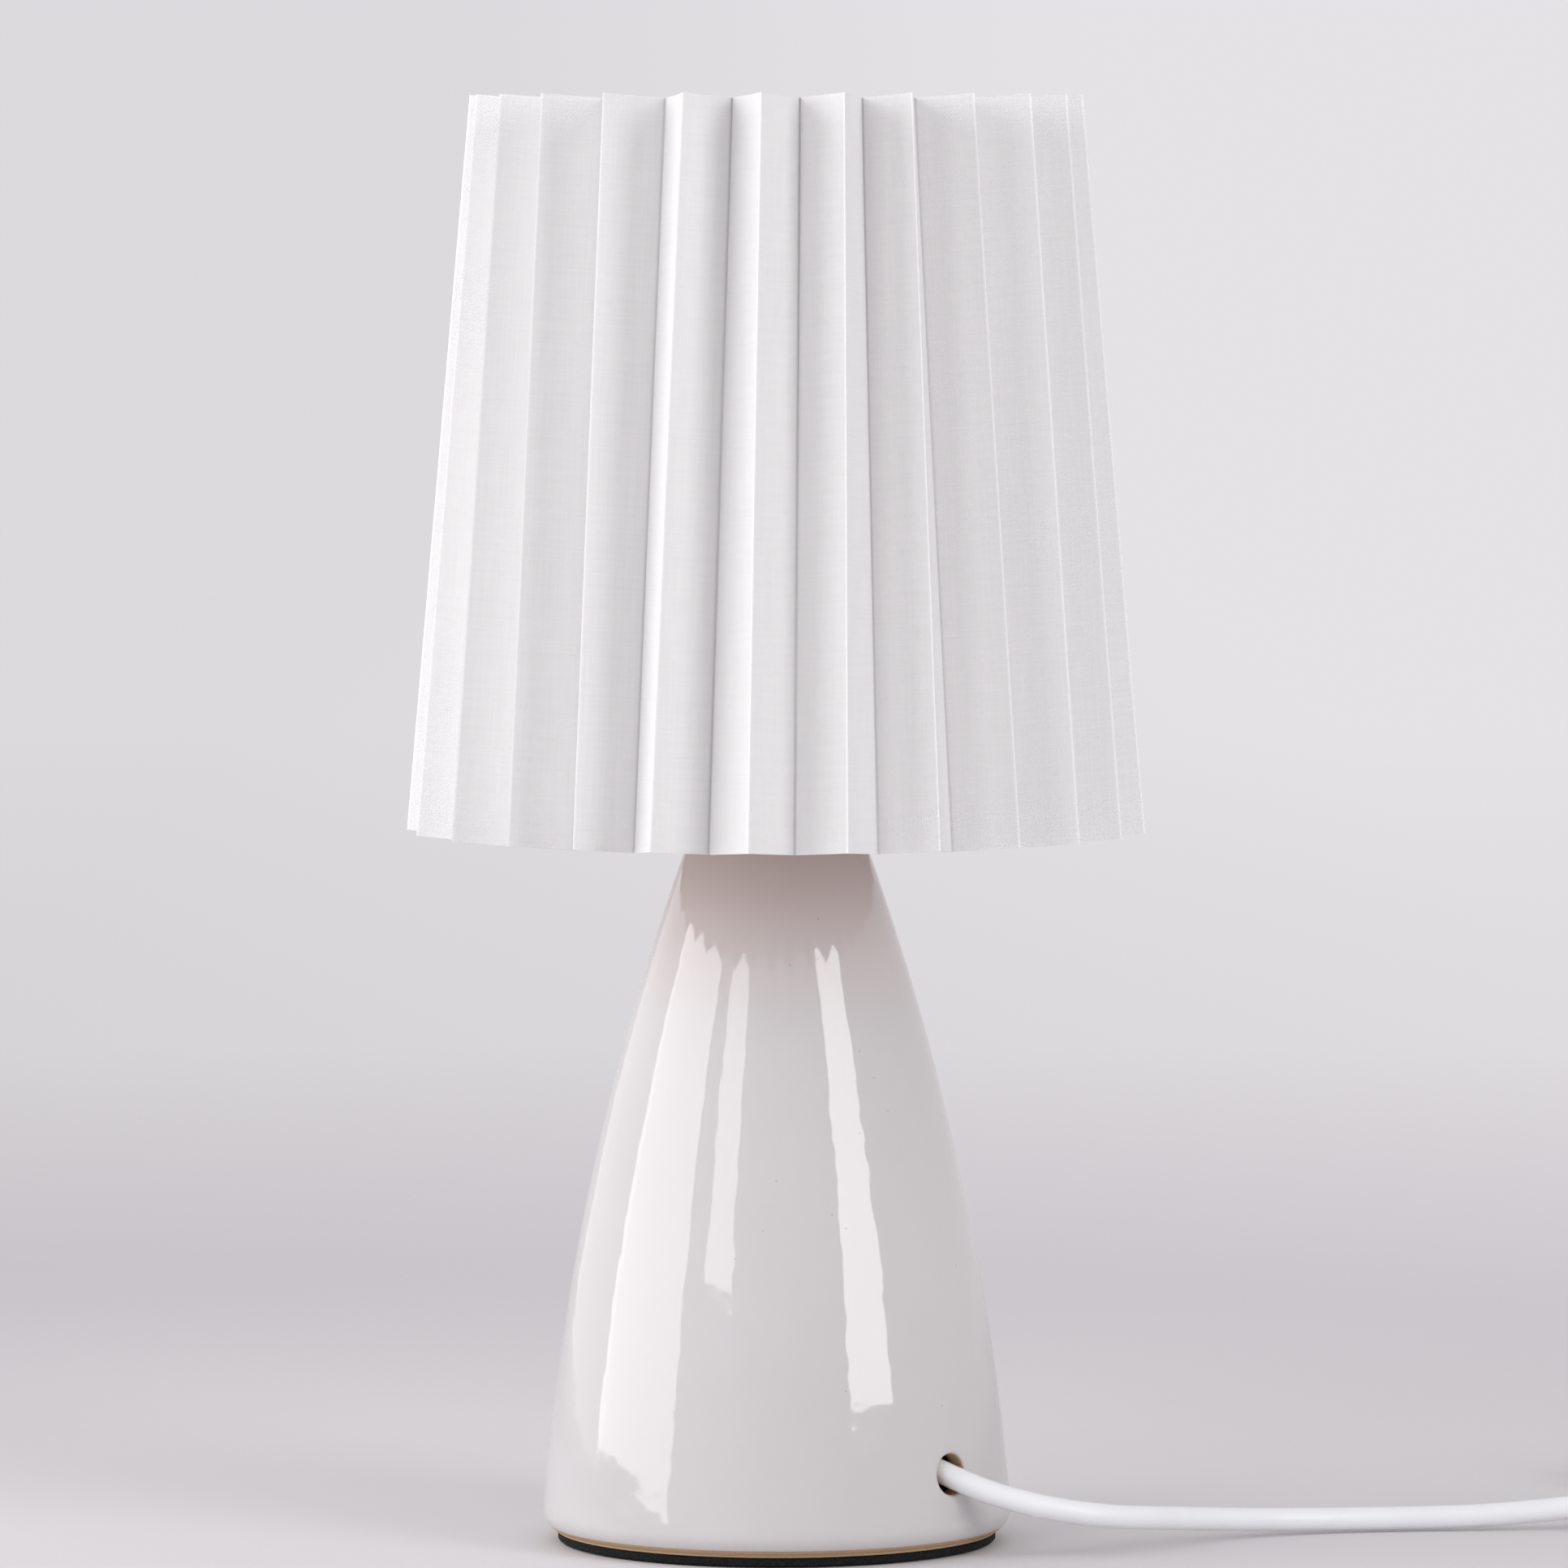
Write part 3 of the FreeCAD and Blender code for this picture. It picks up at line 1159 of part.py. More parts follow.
def build():
    for make in (make_pad, make_base, make_nipple_and_nut, make_holder_shells, make_contacts,
                 make_shade, make_frame, make_collar, make_bulb, make_switch_case, make_rocker,
                 make_switch_metal, make_plug_body, make_pins, make_boot, make_cord_stop, make_coil,
                 make_tie):
        make()
    inside = [(0.0, 0.0, (insert_foot - s.lead_gap).value)] + CORD_INSIDE
    for label, points in (("cord_inside", inside), ("cord_run", CORD_RUN),
                          ("cord_link", CORD_LINK), ("cord_tail", CORD_TAIL)):
        cord_tube(label, points)
    doc.recompute()


def check():
    for thing in doc.Objects:
        if {"Invalid", "Error"} & set(thing.State):
            raise RuntimeError(f"{thing.Label} failed: {thing.State}")
    for node in nodes:
        if node.Shape.isNull() or not node.Shape.isValid() or not node.Shape.Solids:
            raise RuntimeError(f"{node.Label} has no valid solid")


def write():
    os.makedirs("parts", exist_ok=True)
    for node in nodes:
        node.Shape.exportStep(f"parts/{node.Label}.step")


build()
check()
write()
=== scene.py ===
import math
import bpy
import numpy as np
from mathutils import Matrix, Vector


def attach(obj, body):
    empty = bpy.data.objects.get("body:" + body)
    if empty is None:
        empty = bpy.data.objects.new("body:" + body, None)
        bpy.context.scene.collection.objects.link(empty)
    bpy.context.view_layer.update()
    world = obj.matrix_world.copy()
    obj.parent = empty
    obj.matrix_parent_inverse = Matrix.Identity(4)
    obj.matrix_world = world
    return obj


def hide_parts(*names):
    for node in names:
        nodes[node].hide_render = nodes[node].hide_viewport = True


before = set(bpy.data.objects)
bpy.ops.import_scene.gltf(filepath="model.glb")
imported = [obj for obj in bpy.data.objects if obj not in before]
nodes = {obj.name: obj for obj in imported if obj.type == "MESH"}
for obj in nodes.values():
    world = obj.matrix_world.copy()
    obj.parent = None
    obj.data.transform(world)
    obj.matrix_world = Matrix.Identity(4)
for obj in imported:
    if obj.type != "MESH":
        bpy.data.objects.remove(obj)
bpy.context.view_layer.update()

# Pleated table lamp on a pale backdrop. Metres, +Z up, the front faces -Y.

mm = 0.001
rng = np.random.default_rng(7)


def gridQuads(rows, columns, closeRows=False, closeColumns=False):
    # corner numbers of every quad of a grid stored row by row: each point, the next in its row, and
    # the two above them
    i = np.arange(rows if closeRows else rows - 1)
    j = np.arange(columns if closeColumns else columns - 1)
    i, j = (a.ravel() for a in np.meshgrid(i, j, indexing="ij"))
    iNext, jNext = (i + 1) % rows, (j + 1) % columns
    return np.stack([i * columns + j, i * columns + jNext, iNext * columns + jNext,
                     iNext * columns + j], axis=1)


def meshPiece(name, points, quads, body, material, uv=None):
    # points is n by 3, quads m by 4, uv one pair for each corner of each quad
    mesh = bpy.data.meshes.new(name)
    mesh.vertices.add(len(points))
    mesh.vertices.foreach_set("co", np.ascontiguousarray(points, dtype=np.float32).ravel())
    mesh.loops.add(quads.size)
    mesh.loops.foreach_set("vertex_index", quads.astype(np.int32).ravel())
    mesh.polygons.add(len(quads))
    mesh.polygons.foreach_set("loop_start", np.arange(0, quads.size, 4, dtype=np.int32))
    mesh.polygons.foreach_set("use_smooth", np.ones(len(quads), dtype=bool))
    mesh.update(calc_edges=True)
    mesh.validate()
    if uv is not None:
        layer = mesh.uv_layers.new(name="UVMap")
        layer.data.foreach_set("uv", uv.astype(np.float32).reshape(-1, 2).ravel())
    piece = bpy.data.objects.new(name, mesh)
    bpy.context.scene.collection.objects.link(piece)
    mesh.materials.append(material)
    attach(piece, body)
    return piece


def floatAttribute(piece, name, values):
    # one value for each point of the mesh
    layer = piece.data.attributes.new(name, "FLOAT", "POINT")
    layer.data.foreach_set("value", values.astype(np.float32).ravel())


def newMaterial(name, color, roughness, **settings):
    material = bpy.data.materials.new(name)
    material.use_nodes = True
    shader = material.node_tree.nodes["Principled BSDF"]
    shader.inputs["Base Color"].default_value = (*color, 1)
    shader.inputs["Roughness"].default_value = roughness
    for label, value in settings.items():
        shader.inputs[label].default_value = value
    return material, shader


def addNode(material, kind, settings=None, **links):
    # links maps an input's name with underscores for spaces, or its number after an i, to a
    # socket or a value
    node = material.node_tree.nodes.new(kind)
    for key, value in (settings or {}).items():
        setattr(node, key, value)
    for key, value in links.items():
        numbered = key[0] == "i" and key[1:].isdigit()
        socket = node.inputs[int(key[1:]) if numbered else key.replace("_", " ")]
        if isinstance(value, bpy.types.NodeSocket):
            material.node_tree.links.new(value, socket)
        else:
            socket.default_value = value
    return node


def connect(material, source, target):
    material.node_tree.links.new(source, target)


def objectPoint(material, scale=(1, 1, 1)):
    place = addNode(material, "ShaderNodeTexCoord").outputs["Object"]
    return addNode(material, "ShaderNodeMapping", Vector=place, Scale=scale).outputs[0]


def noiseAt(material, point, scale, detail=2.0):
    noise = addNode(material, "ShaderNodeTexNoise", Vector=point, Scale=scale, Detail=detail)
    return noise.outputs["Fac"]


def calc(material, operation, a, b=0.0, clamp=False):
    settings = {"operation": operation, "use_clamp": clamp}
    return addNode(material, "ShaderNodeMath", settings, i0=a, i1=b).outputs[0]


def spread(material, value, low, high, fromLow=0.0, fromHigh=1.0):
    # low at fromLow, high at fromHigh, a straight line between them and level beyond
    return addNode(material, "ShaderNodeMapRange", Value=value, From_Min=fromLow,
                   From_Max=fromHigh, To_Min=low, To_Max=high).outputs[0]


def blendColor(material, factor, a, b):
    # a where the factor is 0, b where it is 1; a and b are sockets or colours
    node = addNode(material, "ShaderNodeMix", {"data_type": "RGBA"})
    connect(material, factor, node.inputs[0])
    for socket, value in ((node.inputs[6], a), (node.inputs[7], b)):
        if isinstance(value, bpy.types.NodeSocket):
            connect(material, value, socket)
        else:
            socket.default_value = (*value, 1)
    return node.outputs[2]


def addBump(material, shader, height, strength, distance):
    bump = addNode(material, "ShaderNodeBump", Height=height, Strength=strength, Distance=distance)
    connect(material, bump.outputs[0], shader.inputs["Normal"])


# glaze, its scales in cycles per metre
glazeLook = {
    # the warm colour towards the neck, and the heights it spans, are painted bounce light from the
    # shade's inside
    "white": (0.606, 0.581, 0.589), "warm": (0.571, 0.537, 0.535), "paintedBounce": (0.755, 0.625, 0.595),
    "clay": (0.42, 0.27, 0.15), "paleClay": (0.55, 0.38, 0.24),
    "roughness": 0.055, "clayRoughness": 0.75, "ior": 1.65,
    "clouds": 22.0, "cloudShare": 0.55, "cloudBetween": (0.35, 0.7),
    "paintedBounceBetween": (0.118, 0.156),  # heights in metres
    "pinholes": 330.0, "pinholeSize": 0.09, "pinholeDraw": 0.955, "pinholeShade": 0.45,
    "edgeGrain": 900.0, "edgeSwing": 0.12, "edgeBetween": (0.45, 0.62),
    "ripple": 70.0, "peel": 520.0, "clayGrain": 1500.0,
    "peelShare": 0.035, "pinholeShare": 0.25, "grainShare": 0.2,  # shares of the bump's height
    "bump": 0.17, "bumpHeight": 0.0012,
}


def makeGlaze():
    look = glazeLook
    material, shader = newMaterial("glaze", look["white"], look["roughness"], IOR=look["ior"])
    point = objectPoint(material)
    cloud = noiseAt(material, point, look["clouds"], 3.0)
    tone = spread(material, cloud, 0.0, look["cloudShare"], *look["cloudBetween"])
    body = blendColor(material, tone, look["white"], look["warm"])
    # painted warm bounce light: towards the neck the glaze turns warmer and lighter, standing for
    # light thrown down from the shade's inside
    level = addNode(material, "ShaderNodeSeparateXYZ", Vector=point).outputs[2]
    paintedBounce = spread(material, level, 0.0, 1.0, *look["paintedBounceBetween"])
    body = blendColor(material, paintedBounce, body, look["paintedBounce"])
    # pinholes: small dark dips in a few cells of a Voronoi pattern
    cells = addNode(material, "ShaderNodeTexVoronoi", Vector=point, Scale=look["pinholes"])
    draw = addNode(material, "ShaderNodeSeparateColor", Color=cells.outputs["Color"]).outputs[0]
    rare = calc(material, "GREATER_THAN", draw, look["pinholeDraw"])
    small = calc(material, "LESS_THAN", cells.outputs["Distance"], look["pinholeSize"])
    dip = calc(material, "MULTIPLY", small, rare)
    dark = calc(material, "MULTIPLY", dip, look["pinholeShade"])
    spotted = blendColor(material, dark, body, look["clay"])
    # bare clay where the glaze stops, with a soft warm edge
    bare = addNode(material, "ShaderNodeAttribute", {"attribute_name": "bare"}).outputs["Fac"]
    swing = look["edgeSwing"]
    uneven = spread(material, noiseAt(material, point, look["edgeGrain"]), -swing, swing)
    ragged = calc(material, "ADD", bare, uneven)
    edge = spread(material, ragged, 0.0, 1.0, *look["edgeBetween"])
    grain = noiseAt(material, point, look["clayGrain"], 3.0)
    clay = blendColor(material, grain, look["clay"], look["paleClay"])
    connect(material, blendColor(material, edge, spotted, clay), shader.inputs["Base Color"])
    connect(material, spread(material, edge, look["roughness"], look["clayRoughness"]),
            shader.inputs["Roughness"])
    # height = ripple + a little peel - the pinholes + the clay's grain where it is bare
    ripple = noiseAt(material, point, look["ripple"])
    peel = noiseAt(material, point, look["peel"], 1.0)
    height = calc(material, "ADD", ripple, calc(material, "MULTIPLY", peel, look["peelShare"]))
    sunk = calc(material, "MULTIPLY", dip, look["pinholeShare"])
    height = calc(material, "SUBTRACT", height, sunk)
    coarse = calc(material, "MULTIPLY", grain, edge)
    height = calc(material, "ADD", height, calc(material, "MULTIPLY", coarse, look["grainShare"]))
    addBump(material, shader, height, look["bump"], look["bumpHeight"])
    return material


shadeFace = 15.24  # width of one face of a pleat, in millimetres

# cloth of the shade, its lengths in metres and its scales in cycles per metre
fabricLook = {
    "color": (0.86, 0.85, 0.855), "gap": (0.70, 0.69, 0.70), "paintedRidgeHighlight": (0.95, 0.945, 0.95),
    "valley": (0.55, 0.54, 0.55), "roughness": 0.78, "sheen": 0.12,
    "pitch": 0.55 * mm, "wander": 0.0003, "wanderScale": 160.0,
    "weftStretch": (60, 1800, 1), "warpStretch": (1800, 45, 1), "slubShare": 0.5,
    "weaveCover": (0.25, 0.85), "slubCover": (-0.14, 0.14), "slubBetween": (0.6, 1.4),
    # the pale crease colour is a painted highlight along each outer fold; this is its share and the
    # distances over which it fades
    "ridgeHighlightShare": 0.8, "ridgeHighlightBetween": (0.00015, 0.0006),
    # the dark valley colour is painted shade in the inner folds; this is its share and its width
    "foldShadeShare": 0.85, "foldShadeWidth": 0.8,  # the width in millimetres
    "bump": 0.25, "bumpHeight": 0.0001,
}


def threadWave(material, along, pitch):
    # sine with one cycle for each thread
    return calc(material, "SINE", calc(material, "MULTIPLY", along, 2 * math.pi / pitch))


def makeFabric():
    # plain weave in metres along the cloth: the threads of each direction rise in turn
    look = fabricLook
    material, shader = newMaterial("shadeFabric", look["color"], look["roughness"])
    shader.inputs["Sheen Weight"].default_value = look["sheen"]
    uv = addNode(material, "ShaderNodeUVMap", {"uv_map": "UVMap"}).outputs[0]
    noise = addNode(material, "ShaderNodeTexNoise", Vector=uv, Scale=look["wanderScale"],
                    Detail=1.0)
    shifted = addNode(material, "ShaderNodeVectorMath", {"operation": "MULTIPLY_ADD"},
                      i0=noise.outputs["Color"], i1=(look["wander"], look["wander"], 0.0),
                      i2=uv).outputs[0]
    parts = addNode(material, "ShaderNodeSeparateXYZ", Vector=shifted)
    across = threadWave(material, parts.outputs[0], look["pitch"])
    along = threadWave(material, parts.outputs[1], look["pitch"])
    weave = calc(material, "MULTIPLY", across, along)
    # slubs: noise drawn out along the threads of each direction
    weft = addNode(material, "ShaderNodeMapping", Vector=uv, Scale=look["weftStretch"]).outputs[0]
    warp = addNode(material, "ShaderNodeMapping", Vector=uv, Scale=look["warpStretch"]).outputs[0]
    slubs = calc(material, "ADD", noiseAt(material, weft, 1.0, 1.0),
                 noiseAt(material, warp, 1.0, 1.0))
    cover = calc(material, "ADD", spread(material, weave, *look["weaveCover"], -1, 1),
                 spread(material, slubs, *look["slubCover"], *look["slubBetween"]), True)
    cloth = blendColor(material, cover, look["gap"], look["color"])
    # distance from the nearest outer fold, along the cloth
    flat = addNode(material, "ShaderNodeSeparateXYZ", Vector=uv).outputs[0]
    fold = calc(material, "PINGPONG", flat, shadeFace * mm)
    # painted highlight: a thin pale line along each outer fold, where the fold catches the light
    outer = spread(material, fold, look["ridgeHighlightShare"], 0.0, *look["ridgeHighlightBetween"])
    cloth = blendColor(material, outer, cloth, look["paintedRidgeHighlight"])
    # painted shade: the cloth darkens over the last part of each face before the inner fold, where
    # shade falls in the fold
    inner = spread(material, fold, 0.0, look["foldShadeShare"],
                   (shadeFace - look["foldShadeWidth"]) * mm, shadeFace * mm)
    cloth = blendColor(material, inner, cloth, look["valley"])
    connect(material, cloth, shader.inputs["Base Color"])
    height = calc(material, "ADD", weave, calc(material, "MULTIPLY", slubs, look["slubShare"]))
    addBump(material, shader, height, look["bump"], look["bumpHeight"])
    return material


backingLook = {
    "color": (0.88, 0.82, 0.79), "dim": (0.85, 0.785, 0.75), "pale": (0.90, 0.84, 0.81),
    "roughness": 0.42, "clouds": 55.0, "grain": 900.0, "bump": 0.15, "bumpHeight": 0.0002,
}


def makeBacking():
    # smooth white film on the cloth's inner side
    look = backingLook
    material, shader = newMaterial("shadeBacking", look["color"], look["roughness"])
    point = objectPoint(material)
    cloud = noiseAt(material, point, look["clouds"], 3.0)
    connect(material, blendColor(material, cloud, look["dim"], look["pale"]),
            shader.inputs["Base Color"])
    grain = noiseAt(material, point, look["grain"])
    addBump(material, shader, grain, look["bump"], look["bumpHeight"])
    return material


plasticLook = {
    "dim": 0.93, "clouds": 60.0, "cloudBetween": (0.3, 0.7), "smoother": 0.05, "rougher": 0.07,
    "coatRoughness": 0.12, "bumpHeight": 0.0002,
}


def makePlastic(name, color, roughness, grain, strength=0.12, coat=0.0):
    # moulded plastic: a little cloudiness in the colour and a fine spark-eroded grain
    look = plasticLook
    material, shader = newMaterial(name, color, roughness)
    shader.inputs["Coat Weight"].default_value = coat
    shader.inputs["Coat Roughness"].default_value = look["coatRoughness"]
    point = objectPoint(material)
    darker = tuple(look["dim"] * c for c in color)
    cloud = noiseAt(material, point, look["clouds"], 3.0)
    cloud = spread(material, cloud, 0, 1, *look["cloudBetween"])
    connect(material, blendColor(material, cloud, darker, color), shader.inputs["Base Color"])
    fine = noiseAt(material, point, grain)
    connect(material, spread(material, fine, roughness - look["smoother"],
                             roughness + look["rougher"]), shader.inputs["Roughness"])
    addBump(material, shader, fine, strength, look["bumpHeight"])
    return material


metalLook = {
    "stretch": (1, 1, 12), "streaks": 420.0, "clouds": 120.0, "wornBetween": (0.35, 0.75),
    "dull": 0.72, "smoother": 0.08, "rougher": 0.14, "bump": 0.12, "bumpHeight": 0.0001,
}


def makeMetal(name, color, roughness):
    # plated metal: fine lines round the vertical, packed closer by stretch, and cloudy wear
    look = metalLook
    material, shader = newMaterial(name, color, roughness, Metallic=1.0)
    streak = noiseAt(material, objectPoint(material, look["stretch"]), look["streaks"], 3.0)
    cloud = noiseAt(material, objectPoint(material), look["clouds"], 3.0)
    dull = tuple(look["dull"] * c for c in color)
    worn = spread(material, cloud, 0, 1, *look["wornBetween"])
    connect(material, blendColor(material, worn, color, dull), shader.inputs["Base Color"])
    connect(material, spread(material, streak, roughness - look["smoother"],
                             roughness + look["rougher"]), shader.inputs["Roughness"])
    addBump(material, shader, streak, look["bump"], look["bumpHeight"])
    return material


foamLook = {
    "color": (0.016, 0.016, 0.017), "deep": (0.004, 0.004, 0.004), "roughness": 0.9,
    "specular": 0.2, "cells": 1400.0, "bump": 0.6, "bumpHeight": 0.0003,
}


def makeFoam():
    # dark foam with small closed cells
    look = foamLook
    material, shader = newMaterial("footFoam", look["color"], look["roughness"])
    shader.inputs["Specular IOR Level"].default_value = look["specular"]
    point = objectPoint(material)
    cells = addNode(material, "ShaderNodeTexVoronoi", Vector=point,
                    Scale=look["cells"]).outputs["Distance"]
    connect(material, blendColor(material, cells, look["deep"], look["color"]),
            shader.inputs["Base Color"])
    addBump(material, shader, cells, look["bump"], look["bumpHeight"])
    return material


diffuserLook = {
    "color": (0.93, 0.93, 0.915), "dim": (0.90, 0.90, 0.88), "pale": (0.95, 0.95, 0.94),
    "roughness": 0.38, "roughBetween": (0.32, 0.46), "depth": 0.25,
    "depthRadius": (0.004, 0.004, 0.004),
    "clouds": 40.0, "grain": 1700.0, "bump": 0.2, "bumpHeight": 0.0001,
}


def makeDiffuser():
    # frosted white plastic that lets a little light into its skin
    look = diffuserLook
    material, shader = newMaterial("frostedDiffuser", look["color"], look["roughness"])
    shader.inputs["Subsurface Weight"].default_value = look["depth"]
    shader.inputs["Subsurface Radius"].default_value = look["depthRadius"]
    point = objectPoint(material)
    cloud = noiseAt(material, point, look["clouds"])
    connect(material, blendColor(material, cloud, look["dim"], look["pale"]),
            shader.inputs["Base Color"])
    fine = noiseAt(material, point, look["grain"])
    connect(material, spread(material, fine, *look["roughBetween"]), shader.inputs["Roughness"])
    addBump(material, shader, fine, look["bump"], look["bumpHeight"])
    return material


cordLook = {
    "color": (0.86, 0.865, 0.895), "dim": (0.82, 0.825, 0.86), "pale": (0.88, 0.885, 0.905),
    "roughness": 0.36, "roughBetween": (0.30, 0.42),
    "depth": 0.35, "depthRadius": (1.0, 0.95, 0.9), "depthScale": 0.0015,
    "waves": 130.0, "grain": 1100.0, "grainShare": 0.3, "bump": 0.12, "bumpHeight": 0.0004,
}


def makeCordSkin():
    # soft vinyl: a slight unevenness and a fine grain, and a little light let into its skin
    look = cordLook
    material, shader = newMaterial("cordVinyl", look["color"], look["roughness"])
    point = objectPoint(material)
    wave = noiseAt(material, point, look["waves"])
    fine = noiseAt(material, point, look["grain"])
    connect(material, blendColor(material, wave, look["dim"], look["pale"]),
            shader.inputs["Base Color"])
    connect(material, spread(material, fine, *look["roughBetween"]), shader.inputs["Roughness"])
    height = calc(material, "ADD", wave, calc(material, "MULTIPLY", fine, look["grainShare"]))
    addBump(material, shader, height, look["bump"], look["bumpHeight"])
    shader.inputs["Subsurface Weight"].default_value = look["depth"]
    shader.inputs["Subsurface Radius"].default_value = look["depthRadius"]
    shader.inputs["Subsurface Scale"].default_value = look["depthScale"]
    return material


bandLook = {
    "color": (0.80, 0.80, 0.82), "dim": (0.62, 0.62, 0.64), "pale": (0.88, 0.88, 0.9),
    "roughness": 0.9, "sheen": 0.4, "loops": 1300.0, "bump": 0.8, "bumpHeight": 0.0005,
}


def makeBandCloth():
    # hook-and-loop band: small round loops, paler at their rims
    look = bandLook
    material, shader = newMaterial("bandCloth", look["color"], look["roughness"])
    shader.inputs["Sheen Weight"].default_value = look["sheen"]
    point = objectPoint(material)
    loops = addNode(material, "ShaderNodeTexVoronoi", Vector=point,
                    Scale=look["loops"]).outputs["Distance"]
    connect(material, blendColor(material, loops, look["dim"], look["pale"]),
            shader.inputs["Base Color"])
    addBump(material, shader, loops, look["bump"], look["bumpHeight"])
    return material


glaze = makeGlaze()
fabric = makeFabric()
backing = makeBacking()
print("materials of the base and shade are ready")


# ceramic base, in millimetres and degrees
base = {
    "top": 157.0, "footRadius": 51.9, "neckRadius": 19.0, "sideRadius": 572.0, "sideStart": 8.0,
    "padThick": 2.0, "ringRadius": 49.0, "ringWidth": 5.0, "ringHeight": 0.5,
    "ringBevel": (0.3, 0.2), "footCorner": (0.35, 1.1), "footArc": 4.6, "footPoints": 10,
    "neckRound": 4.0, "neckPoints": 12, "shoulder": 4.6, "wall": 4.0, "topWall": 6.0,
    "tubeHole": 5.15, "holeBevel": 0.3, "holeFlare": 0.1, "innerBevel": 1.0,
    "outletHeight": 18.3, "outletRadius": 4.5, "outletTurn": 49.0, "lip": 0.8, "lipSteps": 6,
    "columns": 384, "sideRows": 70, "insideRows": 24, "ringAt": 6, "patch": 12,
    "bareHeight": 1.2, "bareInset": 0.9,
}


def sideRadiusAt(height, inset=0.0):
    # the side is one long arc: radius = centre + root(R^2 - (height - centre height)^2)
    across, up = base["neckRadius"] - base["footRadius"], base["top"] - base["sideStart"]
    chord = math.hypot(across, up)
    reach = math.sqrt(base["sideRadius"] ** 2 - chord ** 2 / 4)
    centreR = (base["footRadius"] + base["neckRadius"]) / 2 - up / chord * reach
    centreZ = (base["sideStart"] + base["top"]) / 2 + across / chord * reach
    return centreR + np.sqrt((base["sideRadius"] - inset) ** 2 - (height - centreZ) ** 2)


def roundCorner(before, corner, after, radius, count):
    # points of the arc that rounds a corner of a profile
    before, corner, after = (np.array(p, float) for p in (before, corner, after))
    a, b = before - corner, after - corner
    a, b = a / np.linalg.norm(a), b / np.linalg.norm(b)
    half = math.acos(np.clip(a @ b, -1, 1)) / 2
    centre = corner + (a + b) / np.linalg.norm(a + b) * radius / math.sin(half)
    start = corner + a * radius / math.tan(half) - centre
    end = corner + b * radius / math.tan(half) - centre
    first = math.atan2(start[1], start[0])
    turn = (math.atan2(end[1], end[0]) - first + math.pi) % (2 * math.pi) - math.pi
    angles = first + turn * np.linspace(0, 1, count)
    return centre + radius * np.stack([np.cos(angles), np.sin(angles)], axis=1)


def baseProfile():
    # closed outline of the wall in radius and height, from the foot ring up the outside and down
    # the inside
    b = base
    cell = 2 * math.pi / b["columns"] * sideRadiusAt(b["outletHeight"])
    patchHeights = b["outletHeight"] + cell * np.arange(-b["patch"], b["patch"] + 1)
    low, top = patchHeights[0], patchHeights[-1]
    plain = np.linspace(top, b["top"] - b["shoulder"], b["sideRows"])[1:]
    side = np.concatenate([patchHeights, plain])
    outside = np.stack([sideRadiusAt(side), side], axis=1)
    shoulder = roundCorner(outside[-1], (b["neckRadius"], b["top"]), (b["tubeHole"], b["top"]),
                           b["neckRound"], b["neckPoints"])
    ringTop = b["padThick"] + b["ringHeight"]
    out, up = b["footCorner"]
    foot = roundCorner((b["ringRadius"], ringTop), (b["footRadius"] + out, ringTop + up),
                       (sideRadiusAt(low), low), b["footArc"], b["footPoints"])
    bevelIn, bevelUp = b["ringBevel"]
    ring = [(b["ringRadius"] - b["ringWidth"], b["padThick"]),
            (b["ringRadius"] - bevelIn, b["padThick"]),
            (b["ringRadius"], b["padThick"] + bevelUp), (b["ringRadius"], ringTop)]
    innerTop = b["top"] - b["topWall"]
    innerCorner = float(sideRadiusAt(innerTop, b["wall"])) - b["innerBevel"]
    lid = [(b["tubeHole"] + b["holeBevel"], b["top"]), (b["tubeHole"], b["top"] - b["holeBevel"]),
           (b["tubeHole"], innerTop + b["holeFlare"]), (b["tubeHole"] + b["holeFlare"], innerTop),
           (innerCorner, innerTop)]
    plain = np.linspace(innerTop - b["innerBevel"], top, b["insideRows"])[:-1]
    inside = np.concatenate([plain, patchHeights[::-1]])
    innerWall = np.stack([sideRadiusAt(inside, b["wall"]), inside], axis=1)
    return [np.array(part, float) for part in (ring, foot, outside, shoulder, lid, innerWall)]


def squareToRound(across, up, hole, half, ringAt, patch):
    # near the outlet, square rings of the grid turn into circles: ring number ringAt has the
    # hole's radius and the outermost ring stays square
    ring = np.maximum(np.abs(across), np.abs(up)) / half * patch
    length = np.hypot(across, up)
    length = np.where(length == 0, 1, length)
    share = np.clip((ring - ringAt) / (patch - ringAt), 0, 1)
    circle = hole + share * (half - hole)
    newAcross = (1 - share) * across / length * circle + share * across
    newUp = (1 - share) * up / length * circle + share * up
    near = ring < patch - 1e-6
    return np.where(near, newAcross, across), np.where(near, newUp, up), ring


